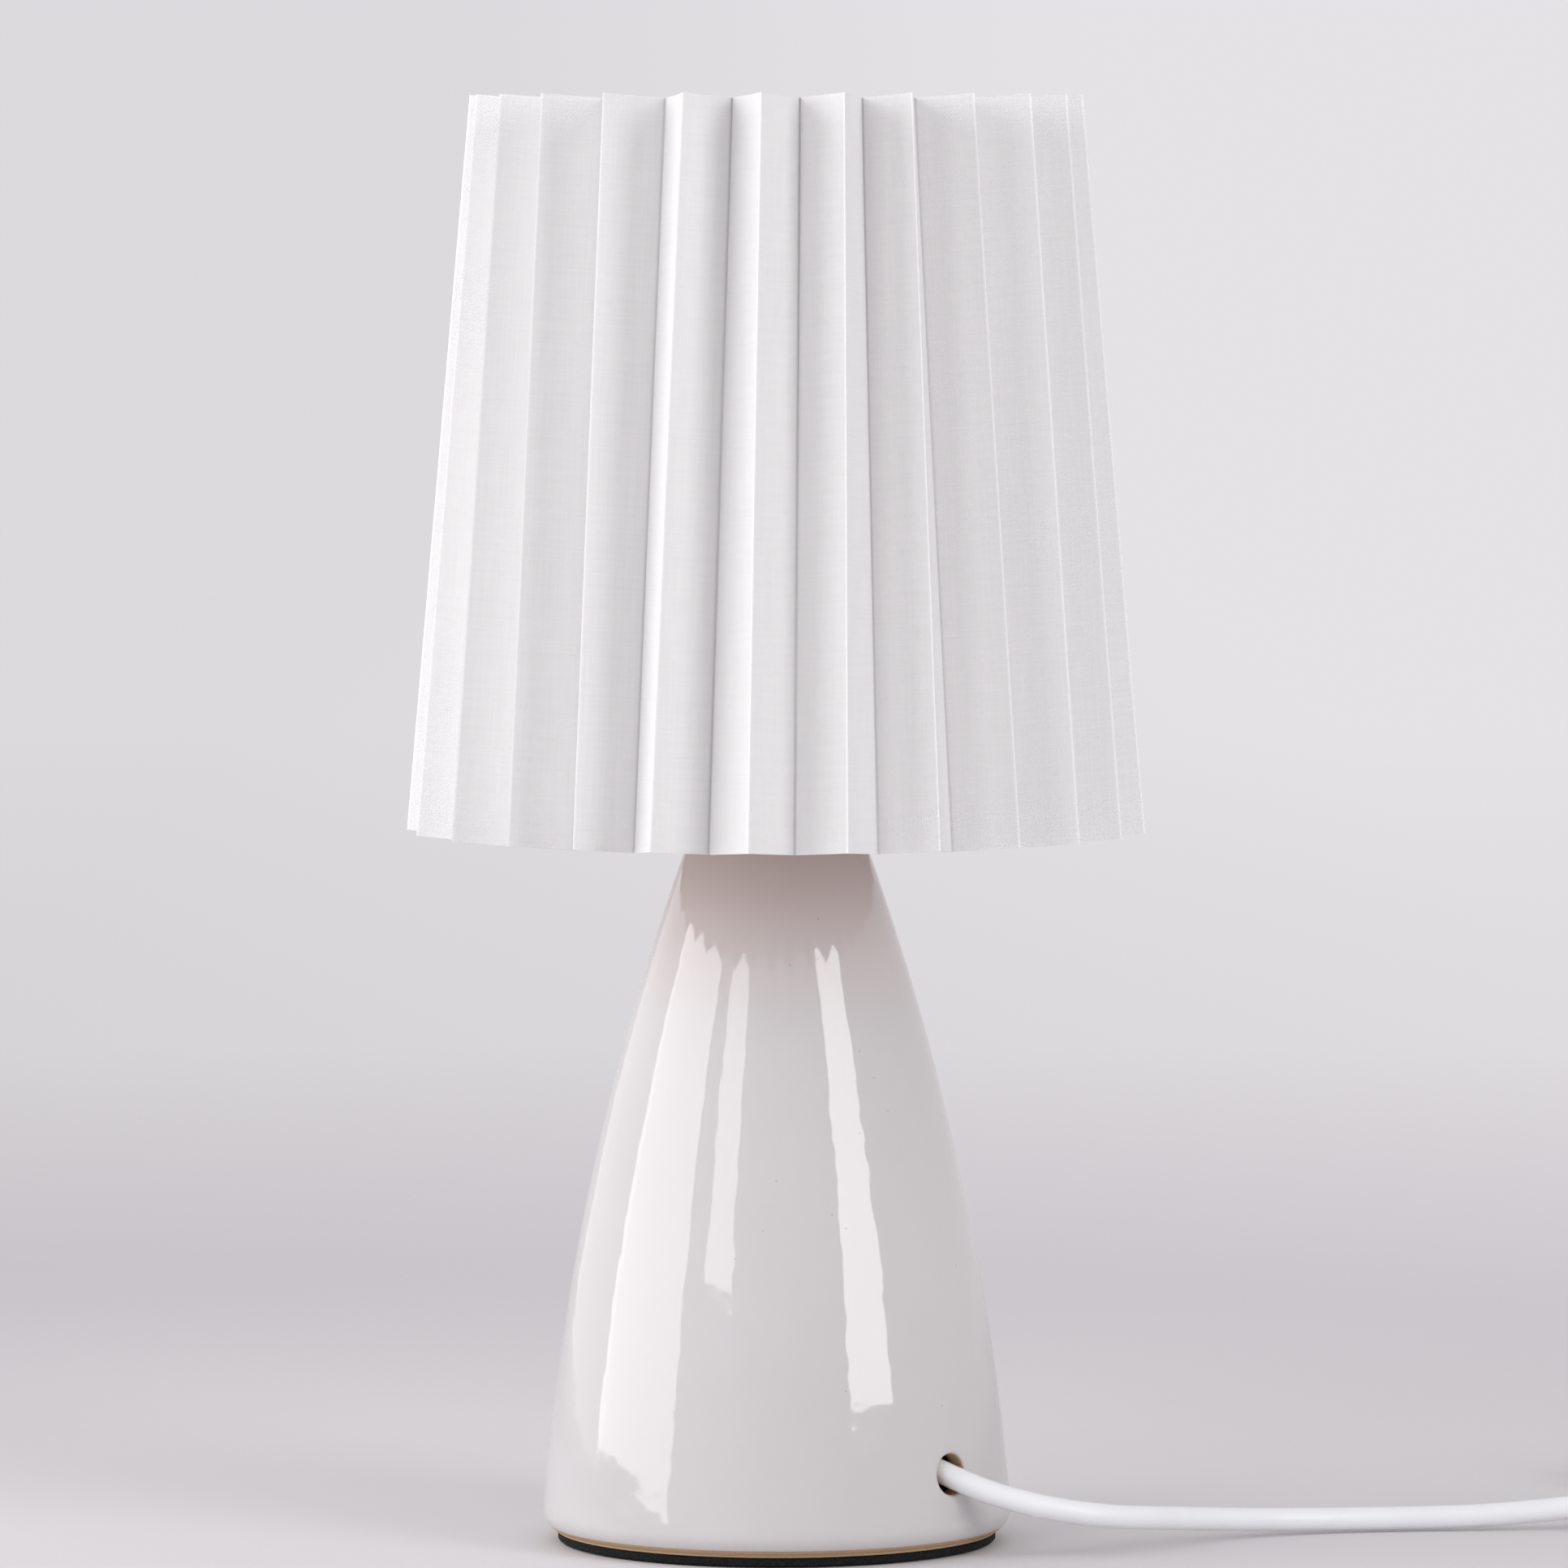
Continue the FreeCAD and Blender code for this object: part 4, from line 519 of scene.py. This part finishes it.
def makeBase():
    # the profile turned about Z: x = radius cos angle, y = radius sin angle
    b = base
    parts = baseProfile()
    profile = np.concatenate(parts)
    rows, columns = len(profile), b["columns"]
    angle = 2 * math.pi / columns
    turn = math.radians(b["outletTurn"] - 90)
    theta = turn + angle * (np.arange(columns) - columns // 2)
    radius = np.repeat(profile[:, :1], columns, axis=1)
    height = np.repeat(profile[:, 1:], columns, axis=1)
    theta = np.repeat(theta[None, :], rows, axis=0)
    starts = np.cumsum([0] + [len(part) for part in parts])
    cell = angle * sideRadiusAt(b["outletHeight"])
    half = cell * b["patch"]
    skip = np.zeros((rows, columns), dtype=bool)
    rings = []
    mouths = ((2, b["outletRadius"] + b["lip"], 0.0), (5, b["outletRadius"], b["wall"]))
    for part, hole, inset in mouths:
        rowsHere = np.arange(starts[part], starts[part + 1])
        level = profile[rowsHere, 1]
        rowsHere = rowsHere[np.abs(level - b["outletHeight"]) < half + 1e-6]
        middle = columns // 2
        columnsHere = np.arange(middle - b["patch"], middle + b["patch"] + 1)
        where = np.ix_(rowsHere, columnsHere)
        across = (theta[where] - turn) / angle * cell
        up = height[where] - b["outletHeight"]
        newAcross, newUp, ring = squareToRound(across, up, hole, half, b["ringAt"], b["patch"])
        level = newUp + b["outletHeight"]
        wallRadius = sideRadiusAt(level, inset)
        theta[where] = turn + newAcross / wallRadius
        height[where] = level
        radius[where] = wallRadius
        skip[where] = ring < b["ringAt"] - 0.5
        onRing = np.abs(ring - b["ringAt"]) < 0.5
        i, j = np.nonzero(onRing)
        order = np.argsort(np.arctan2(newUp[i, j], newAcross[i, j]))
        rings.append((rowsHere[i] * columns + columnsHere[j])[order])
    points = np.stack([radius * np.cos(theta), radius * np.sin(theta), height], axis=2)
    points = points.reshape(-1, 3)
    quads = gridQuads(rows, columns, True, True)
    quads = quads[~skip.reshape(-1)[quads].any(axis=1)]

    # the outlet's lip is a quarter circle about each point of the outer ring, and straight steps
    # lead from it to the inner ring
    way = np.array([math.cos(turn), math.sin(turn), 0])
    outer, inner = points[rings[0]], points[rings[1]]
    steps = np.linspace(0, math.pi / 2, b["lipSteps"])[1:]
    centreLine = np.array([0, 0, b["outletHeight"]])
    spoke = outer - centreLine
    spoke -= np.outer(spoke @ way, way)
    spoke /= np.linalg.norm(spoke, axis=1)[:, None]
    layers = [outer - spoke * b["lip"] * math.sin(s) - way * b["lip"] * (1 - math.cos(s))
              for s in steps]
    edge = layers[-1]
    layers += [edge * (1 - share) + inner * share for share in (0.33, 0.66)]
    extra = np.concatenate(layers)
    ringCount = len(rings[0])
    extraNumbers = len(points) + np.arange(len(extra))
    numbers = np.concatenate([rings[0], extraNumbers, rings[1]]).reshape(-1, ringCount)
    boreQuads = numbers.ravel()[gridQuads(len(numbers), ringCount, False, True)]
    allPoints = np.concatenate([points, extra]) * mm
    allQuads = np.concatenate([quads, boreQuads])
    piece = meshPiece("glazedBase", allPoints, allQuads, "root", glaze)

    # 1 on bare clay: the foot ring, the inside, and step by step round the outlet's lip
    bare = np.zeros((rows, columns))
    low = height < b["padThick"] + b["ringHeight"] + b["bareHeight"]
    bare[low & (radius < b["footRadius"] - b["bareInset"])] = 1.0
    bare[starts[5]:] = 1.0
    bareExtra = np.repeat([0.15, 0.35, 0.6, 0.9, 1, 1, 1], ringCount)
    floatAttribute(piece, "bare", np.concatenate([bare.ravel(), bareExtra]))
    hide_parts("ceramic_base")
    return piece


glazedBase = makeBase()
print("base:", len(glazedBase.data.polygons), "faces")


# pleated shade, in millimetres and degrees
shade = {
    "bottom": 157.7, "height": 162.3, "ridgeLow": 81.9, "ridgeHigh": 67.7, "foldDepth": 11.9,
    "pleats": 25, "phase": -93.7, "thick": 0.8, "lean": 4.9, "trough": 0.015, "uneven": 0.5,
    "faceSteps": 14, "fineSteps": [0.965, 0.985, 0.994], "rows": 56, "sharpAngle": 32,
    # sag of a face between its folds: where it ends, how it changes up the shade, and its shares
    # along the radius, as the cosine of bellyTurn in radians, and across it
    "belly": -0.4, "bellyEnd": 0.9, "bellyChange": 0.4, "bellyWaves": 5, "bellyTurn": 0.9,
    "bellyAcross": 0.6,
    # how far the outer folds stand from their even places, from the front one round to the left
    "shiftTop": {0: 1.0, 1: 2.0, 2: 0.4, 3: -0.7, 4: 0.6, 5: 1.0, 6: 0.8,
                 24: 0.9, 23: -1.2, 22: -2.2, 21: -1.7, 20: -0.8},
    "shiftBottom": {0: -0.9, 1: 0.0, 2: 0.4, 3: 0.5, 4: -0.9, 5: -2.0, 6: -0.6,
                    24: -1.9, 23: 0.2, 22: 2.4, 21: 2.4, 20: 1.3},
}


def foldShape(x, trough):
    # 0 at the outer fold, 1 at the inner fold: straight from the sharp outer fold and a hyperbola
    # at the rounded inner one
    span = math.sqrt(1 + trough ** 2) - trough
    return 1 - (np.sqrt((1 - x) ** 2 + trough ** 2) - trough) / span


def makeShade():
    # each face runs from the outer fold's radius to the inner fold's; the rims lean by the tangent
    # of the lean times the distance inside the outer fold
    c = shade
    half = math.pi / c["pleats"]
    # steps across one face, closer together beside the inner fold
    steps = np.unique(np.append(np.linspace(0, 1, c["faceSteps"] + 1), c["fineSteps"]))
    across = np.concatenate([steps[:-1], 2 - steps[::-1][:-1]])
    pleat = np.repeat(np.arange(c["pleats"]), len(across))
    across = np.tile(across, c["pleats"])
    x = np.where(across <= 1, across, 2 - across)
    side = np.where(across <= 1, 1, -1)
    number = pleat + (across > 1)
    v = np.linspace(0, 1, c["rows"])[:, None]
    # each outer fold wanders a little from its even place, and the inner folds follow their
    # neighbours
    low, high = rng.normal(0, c["uneven"], (2, c["pleats"]))
    for shift, chosen in ((low, c["shiftBottom"]), (high, c["shiftTop"])):
        shift[list(chosen)] = list(chosen.values())
    ridge = c["ridgeLow"] + v * (c["ridgeHigh"] - c["ridgeLow"])
    valley = ridge - c["foldDepth"]
    shape = foldShape(x, c["trough"])
    radial = ridge - (ridge - valley * math.cos(half)) * shape
    belly = c["belly"] * np.sin(math.pi * np.clip(x / c["bellyEnd"], 0, 1))
    belly = belly * (1 + c["bellyChange"] * np.sin(c["bellyWaves"] * v + pleat))
    radial = radial + belly * math.cos(c["bellyTurn"])
    tangential = side * x * valley * math.sin(half)
    tangential = tangential + side * belly * c["bellyAcross"]
    here, beside = number % c["pleats"], (number + side) % c["pleats"]
    outer = low[here] + v * (high[here] - low[here])
    inner = (outer + low[beside] + v * (high[beside] - low[beside])) / 2
    tangential = tangential + outer * (1 - x) + inner * x
    angle = math.radians(c["phase"]) + 2 * half * number
    px = radial * np.cos(angle) - tangential * np.sin(angle)
    py = radial * np.sin(angle) + tangential * np.cos(angle)
    pz = c["bottom"] + v * c["height"] + (radial - ridge) * math.tan(math.radians(c["lean"]))
    points = np.stack([px, py, pz], axis=2)
    rows, columns = px.shape
    quads = gridQuads(rows, columns, False, True)

    # the cloth's own flat coordinates, in metres
    face = shadeFace * mm
    u = np.append(2 * pleat + across, 2 * c["pleats"]) * face
    corner = np.stack([np.arange(columns), np.arange(columns) + 1,
                       np.arange(columns) + 1, np.arange(columns)], axis=1)
    row = np.arange(rows - 1)
    height = c["height"] * mm / (rows - 1)
    uAll = np.tile(u[corner], (rows - 1, 1))
    vAll = np.repeat(np.stack([row, row, row + 1, row + 1], axis=1), columns, axis=0) * height
    uv = np.stack([uAll, vAll], axis=2)
    piece = meshPiece("shadeCloth", points.reshape(-1, 3) * mm, quads, "shade", fabric, uv=uv)
    piece.data.materials.append(backing)
    wall = piece.modifiers.new("wall", "SOLIDIFY")
    wall.thickness = c["thick"] * mm
    wall.offset = -1
    wall.use_even_offset = True
    wall.material_offset = 1
    wall.material_offset_rim = 0
    # the wall as plain closed faces, its folds and rims marked as sharp edges
    bpy.context.view_layer.update()
    graph = bpy.context.evaluated_depsgraph_get()
    solid = bpy.data.meshes.new_from_object(piece.evaluated_get(graph),
                                            preserve_all_data_layers=True, depsgraph=graph)
    solid.set_sharp_from_angle(angle=math.radians(c["sharpAngle"]))
    piece.modifiers.clear()
    piece.data = solid
    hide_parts("pleated_shade")
    return piece


shadeCloth = makeShade()
print("shade:", len(shadeCloth.data.polygons), "faces")


# cord, laid along the route of the cord's solids, in millimetres and its length in metres
cord = {"radius": 2.6, "length": 1.72, "exit": (38.8, -33.0, 17.5), "order": 3, "steps": 6,
        "roundness": 5}

cordRun = [(31.9, -29.8, 20.5), (42.5, -34.7, 15.8), (54.6, -36.3, 12.3), (65.4, -34.2, 10.0),
           (75.0, -28.9, 8.4), (82.8, -21.1, 7.2), (90.0, -11.6, 5.8), (99.0, -2.2, 4.4),
           (109.9, 4.9, 3.4), (123.0, 9.9, 2.8), (138.7, 12.9, 2.65), (157.0, 14.3, 2.9),
           (173.0, 14.5, 4.3), (187.0, 14.2, 6.0), (200.0, 14.2, 6.0)]
cordLink = [(240.0, 14.2, 6.0), (253.0, 14.2, 6.0), (272.0, 14.0, 3.5), (286.8, 14.0, 3.5)]
cordTail = [(286.8, 96.0, 9.3), (279.4, 96.0, 9.3), (267.4, 96.0, 6.85), (260.0, 96.0, 6.85)]

# spare cord, tied in a coil of two layers
coil = {"x": 292.0, "y": 55.0, "radius": 41.0, "turns": 3.5, "pitch": 5.8, "low": 3.5,
        "rise": 5.8, "dip": 0.9, "perTurn": 16, "climb": 0.5}


def coilPoints():
    # spiral in on the lower layer, half a turn that climbs, spiral out on the upper layer
    c = coil
    total = 2 * c["turns"] + c["climb"]
    turns = np.linspace(0, total, int(total * c["perTurn"]) + 1)
    inner = c["radius"] - c["turns"] * c["pitch"]
    past = turns - c["turns"]
    climbed = np.clip(past / c["climb"], 0, 1)
    radius = np.where(past < 0, c["radius"] - c["pitch"] * turns,
                      inner + c["pitch"] * np.clip(past - c["climb"], 0, None))
    climbing = (past > 0) & (past < c["climb"])
    radius = radius - c["dip"] * np.sin(np.pi * climbed) * climbing
    height = c["low"] + c["rise"] * (1 - np.cos(np.pi * climbed)) / 2
    # the curve passes inside its control points by this factor
    swell = np.full(len(turns), 1 / math.cos(math.pi / c["perTurn"]))
    swell[[0, -1]] = 1
    angle = 2 * np.pi * turns - np.pi / 2
    return np.stack([c["x"] + radius * swell * np.cos(angle),
                     c["y"] + radius * swell * np.sin(angle), height], axis=1)


def makeCord():
    # a circle of the cord's radius carried along one smooth curve through all the routes
    route = np.concatenate([cordRun, cordLink, coilPoints(), cordTail]) * mm
    curve = bpy.data.curves.new("mainsCord", "CURVE")
    curve.dimensions = "3D"
    line = curve.splines.new("NURBS")
    line.points.add(len(route) - 1)
    weighted = np.concatenate([route, np.ones((len(route), 1))], axis=1)
    line.points.foreach_set("co", weighted.ravel())
    line.order_u = cord["order"]
    line.use_endpoint_u = True
    line.resolution_u = cord["steps"]
    curve.bevel_depth = cord["radius"] * mm
    curve.bevel_resolution = cord["roundness"]
    curve.use_fill_caps = True
    piece = bpy.data.objects.new("mainsCord", curve)
    bpy.context.scene.collection.objects.link(piece)
    curve.materials.append(makeCordSkin())
    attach(piece, "root")
    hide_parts("cord_run", "cord_link", "cord_coil", "cord_tail")
    return piece


mainsCord = makeCord()
print("cord is laid")


# finishes of the pieces that keep their solids: name, colour, roughness, then grain, bump and coat
finishes = {
    makeFoam(): ["base_pad"],
    makePlastic("whiteEnamel", (0.82, 0.82, 0.81), 0.30, 300.0, 0.2): [
        "shade_upper_ring", "shade_lower_ring", "shade_arms", "fitter_ring"],
    makePlastic("holderPlastic", (0.82, 0.82, 0.80), 0.42, 1500.0): [
        "lampholder_cap", "lampholder_sleeve", "shade_collar", "cord_stop"],
    makePlastic("contactBlock", (0.74, 0.73, 0.68), 0.6, 900.0): ["contact_block"],
    makePlastic("switchPlastic", (0.84, 0.84, 0.845), 0.32, 1700.0, 0.08, 0.2): [
        "switch_upper_case", "switch_lower_case", "switch_rocker"],
    makePlastic("plugPlastic", (0.83, 0.83, 0.84), 0.45, 1300.0): ["plug_body", "plug_boot"],
    makePlastic("sleevePlastic", (0.03, 0.03, 0.03), 0.4, 1300.0): [
        "pin_sleeves", "bulb_insulator"],
    makePlastic("bulbPlastic", (0.84, 0.84, 0.83), 0.36, 1500.0): ["bulb_housing"],
    makePlastic("boardMask", (0.80, 0.80, 0.78), 0.35, 700.0): ["light_board"],
    makeDiffuser(): ["bulb_diffuser"],
    makeMetal("brass", (0.78, 0.60, 0.30), 0.28): [
        "bulb_tip", "thread_contact", "centre_contact", "switch_contacts"],
    makeMetal("platedSteel", (0.72, 0.71, 0.67), 0.32): [
        "threaded_nipple", "nipple_nut", "lower_washer", "upper_washer", "terminal_screws",
        "case_screws"],
    makeMetal("nickel", (0.80, 0.79, 0.76), 0.24): ["plug_pins", "bulb_screw_cap"],
    makeBandCloth(): ["coil_tie"],
    mainsCord.data.materials[0]: ["cord_inside"],
}

for material, names in finishes.items():
    for name in names:
        nodes[name].data.materials.clear()
        nodes[name].data.materials.append(material)
print("finishes are set")


# paper backdrop and room light, in metres
backdrop = {
    "inner": 0.02, "outer": 9.0, "rings": 70, "columns": 96, "drop": 0.0003, "roughness": 0.8,
    # near, middle and far are painted tones of the paper where it glows, darker nearer the lamp,
    # and side makes it a little brighter towards +x: painted light
    "floor": (0.70, 0.68, 0.70), "near": (0.58, 0.552, 0.588), "middle": (0.705, 0.683, 0.705),
    "far": (0.752, 0.732, 0.757), "middleBetween": (0.5, 1.3), "farBetween": (1.3, 3.4),
    "glowBetween": (0.22, 0.62), "side": 0.045, "sideReach": 0.3, "roomReach": 0.03,
    "room": (0.86, 0.85, 0.86), "roomStrength": 0.69,
}


def directlySeen(tree):
    # 1 for rays from the camera, a reflection or a clear pane, 0 for light that bounces
    rays = tree.nodes.new("ShaderNodeLightPath")
    total = None
    for label in ("Is Camera Ray", "Is Glossy Ray", "Is Transmission Ray"):
        if total is None:
            total = rays.outputs[label]
            continue
        add = tree.nodes.new("ShaderNodeMath")
        add.operation = "ADD"
        add.use_clamp = True
        tree.links.new(total, add.inputs[0])
        tree.links.new(rays.outputs[label], add.inputs[1])
        total = add.outputs[0]
    return total


def makeBackdrop():
    # round paper floor: x = r cos angle, y = r sin angle, each r the same factor past the last
    c = backdrop
    r = np.geomspace(c["inner"], c["outer"], c["rings"])[:, None]
    theta = np.linspace(0, 2 * math.pi, c["columns"], endpoint=False)
    flat = np.full((c["rings"], c["columns"]), -c["drop"])
    points = np.stack([r * np.cos(theta), r * np.sin(theta), flat], axis=2)
    mesh = bpy.data.meshes.new("paperBackdrop")
    quads = gridQuads(c["rings"], c["columns"], False, True)
    mesh.from_pydata(points.reshape(-1, 3).tolist(), [], quads.tolist())
    floor = bpy.data.objects.new("paperBackdrop", mesh)
    bpy.context.scene.collection.objects.link(floor)
    material, shader = newMaterial("backdropPaper", c["floor"], c["roughness"])
    place = addNode(material, "ShaderNodeTexCoord").outputs["Object"]
    parts = addNode(material, "ShaderNodeSeparateXYZ", Vector=place)
    away = addNode(material, "ShaderNodeVectorMath", {"operation": "LENGTH"},
                   i0=place).outputs["Value"]
    # seen directly or in a reflection, the paper past the lamp glows with painted light: darker
    # nearer the lamp, lighter far off and a little brighter towards +x; the floor near the lamp is
    # lit
    tone = blendColor(material, spread(material, away, 0, 1, *c["middleBetween"]), c["near"],
                      c["middle"])
    tone = blendColor(material, spread(material, away, 0, 1, *c["farBetween"]), tone, c["far"])
    # painted light: the glowing paper is a little brighter towards +x
    side = spread(material, parts.outputs[0], 1 - c["side"], 1 + c["side"], -c["sideReach"],
                  c["sideReach"])
    glow = addNode(material, "ShaderNodeEmission", Color=tone, Strength=side)
    far = spread(material, away, 0.0, 1.0, *c["glowBetween"])
    seenFar = calc(material, "MULTIPLY", directlySeen(material.node_tree), far)
    mixFar = addNode(material, "ShaderNodeMixShader", i0=seenFar, i1=shader.outputs[0],
                     i2=glow.outputs[0])
    connect(material, mixFar.outputs[0],
            material.node_tree.nodes["Material Output"].inputs["Surface"])
    mesh.materials.append(material)


def makeRoom():
    # even room light; where the room itself is seen it has the far paper's painted tone, a little
    # brighter towards +x
    c = backdrop
    world = bpy.data.worlds.new("room")
    world.use_nodes = True
    tree = world.node_tree
    light = tree.nodes["Background"]
    light.inputs["Color"].default_value = (*c["room"], 1)
    light.inputs["Strength"].default_value = c["roomStrength"]
    seenTone = tree.nodes.new("ShaderNodeBackground")
    seenTone.inputs["Color"].default_value = (*c["far"], 1)
    way = tree.nodes.new("ShaderNodeTexCoord")
    split = tree.nodes.new("ShaderNodeSeparateXYZ")
    shift = tree.nodes.new("ShaderNodeMapRange")
    ends = {"From Min": -c["roomReach"], "From Max": c["roomReach"],
            "To Min": 1 - c["side"], "To Max": 1 + c["side"]}
    for label, value in ends.items():
        shift.inputs[label].default_value = value
    mix = tree.nodes.new("ShaderNodeMixShader")
    tree.links.new(way.outputs["Generated"], split.inputs[0])
    tree.links.new(split.outputs[0], shift.inputs["Value"])
    tree.links.new(shift.outputs[0], seenTone.inputs["Strength"])
    tree.links.new(directlySeen(tree), mix.inputs[0])
    tree.links.new(light.outputs[0], mix.inputs[1])
    tree.links.new(seenTone.outputs[0], mix.inputs[2])
    tree.links.new(mix.outputs[0], tree.nodes["World Output"].inputs["Surface"])
    bpy.context.scene.world = world


# lamps, each with its place, its target, its width and height in metres, and its radiance
lamps = {
    "leftBox": ((-1.15, -0.31, 0.635), (0, -0.31, 0.635), 1.10, 1.17, 2.7),
    "backFill": ((-1.12, 0.76, 0.62), (0, 0, 0.62), 1.30, 1.2, 0.5),
    "rightStrip": ((1.15, -0.98, 0.88), (0, 0, 0.88), 0.60, 1.36, 4.0),
    "frontStrip": ((-0.95, -1.45, 1.05), (0, 0, 1.0), 0.50, 1.2, 2.7),
}


def makeLamps():
    # power = radiance times pi times the lamp's area
    for name, (place, target, width, height, radiance) in lamps.items():
        data = bpy.data.lights.new(name, "AREA")
        data.shape = "RECTANGLE"
        data.size, data.size_y = width, height
        data.energy = radiance * math.pi * width * height
        lamp = bpy.data.objects.new(name, data)
        lamp.location = place
        way = Vector(target) - Vector(place)
        lamp.rotation_euler = way.to_track_quat("-Z", "Y").to_euler()
        bpy.context.scene.collection.objects.link(lamp)


# camera at the photograph's place, its lengths in metres, its tilt in degrees and its sensor in
# millimetres; pixels is the focal length in pixels of a frame as wide as frame
camera = {"height": 0.300, "distance": 2.250, "pan": 0.0016, "tilt": 3.362,
          "pixels": 12547.0, "frame": 1932.0, "sensor": 36.0, "clip": (0.05, 30.0)}


def makeCamera():
    c = camera
    data = bpy.data.cameras.new("photoCamera")
    data.sensor_width = c["sensor"]
    data.lens = c["pixels"] / c["frame"] * c["sensor"]
    data.clip_start, data.clip_end = c["clip"]
    eye = bpy.data.objects.new("photoCamera", data)
    eye.location = (0, -c["distance"], c["height"])
    drop = c["distance"] * math.tan(math.radians(c["tilt"]))
    target = Vector((c["pan"], 0, c["height"] - drop))
    eye.rotation_euler = (target - eye.location).to_track_quat("-Z", "Y").to_euler()
    bpy.context.scene.collection.objects.link(eye)
    bpy.context.scene.camera = eye


makeBackdrop()
makeRoom()
makeLamps()
makeCamera()
print("backdrop, lamps and camera are set")
bpy.context.scene.view_settings.view_transform = "Standard"

print("scene is ready")
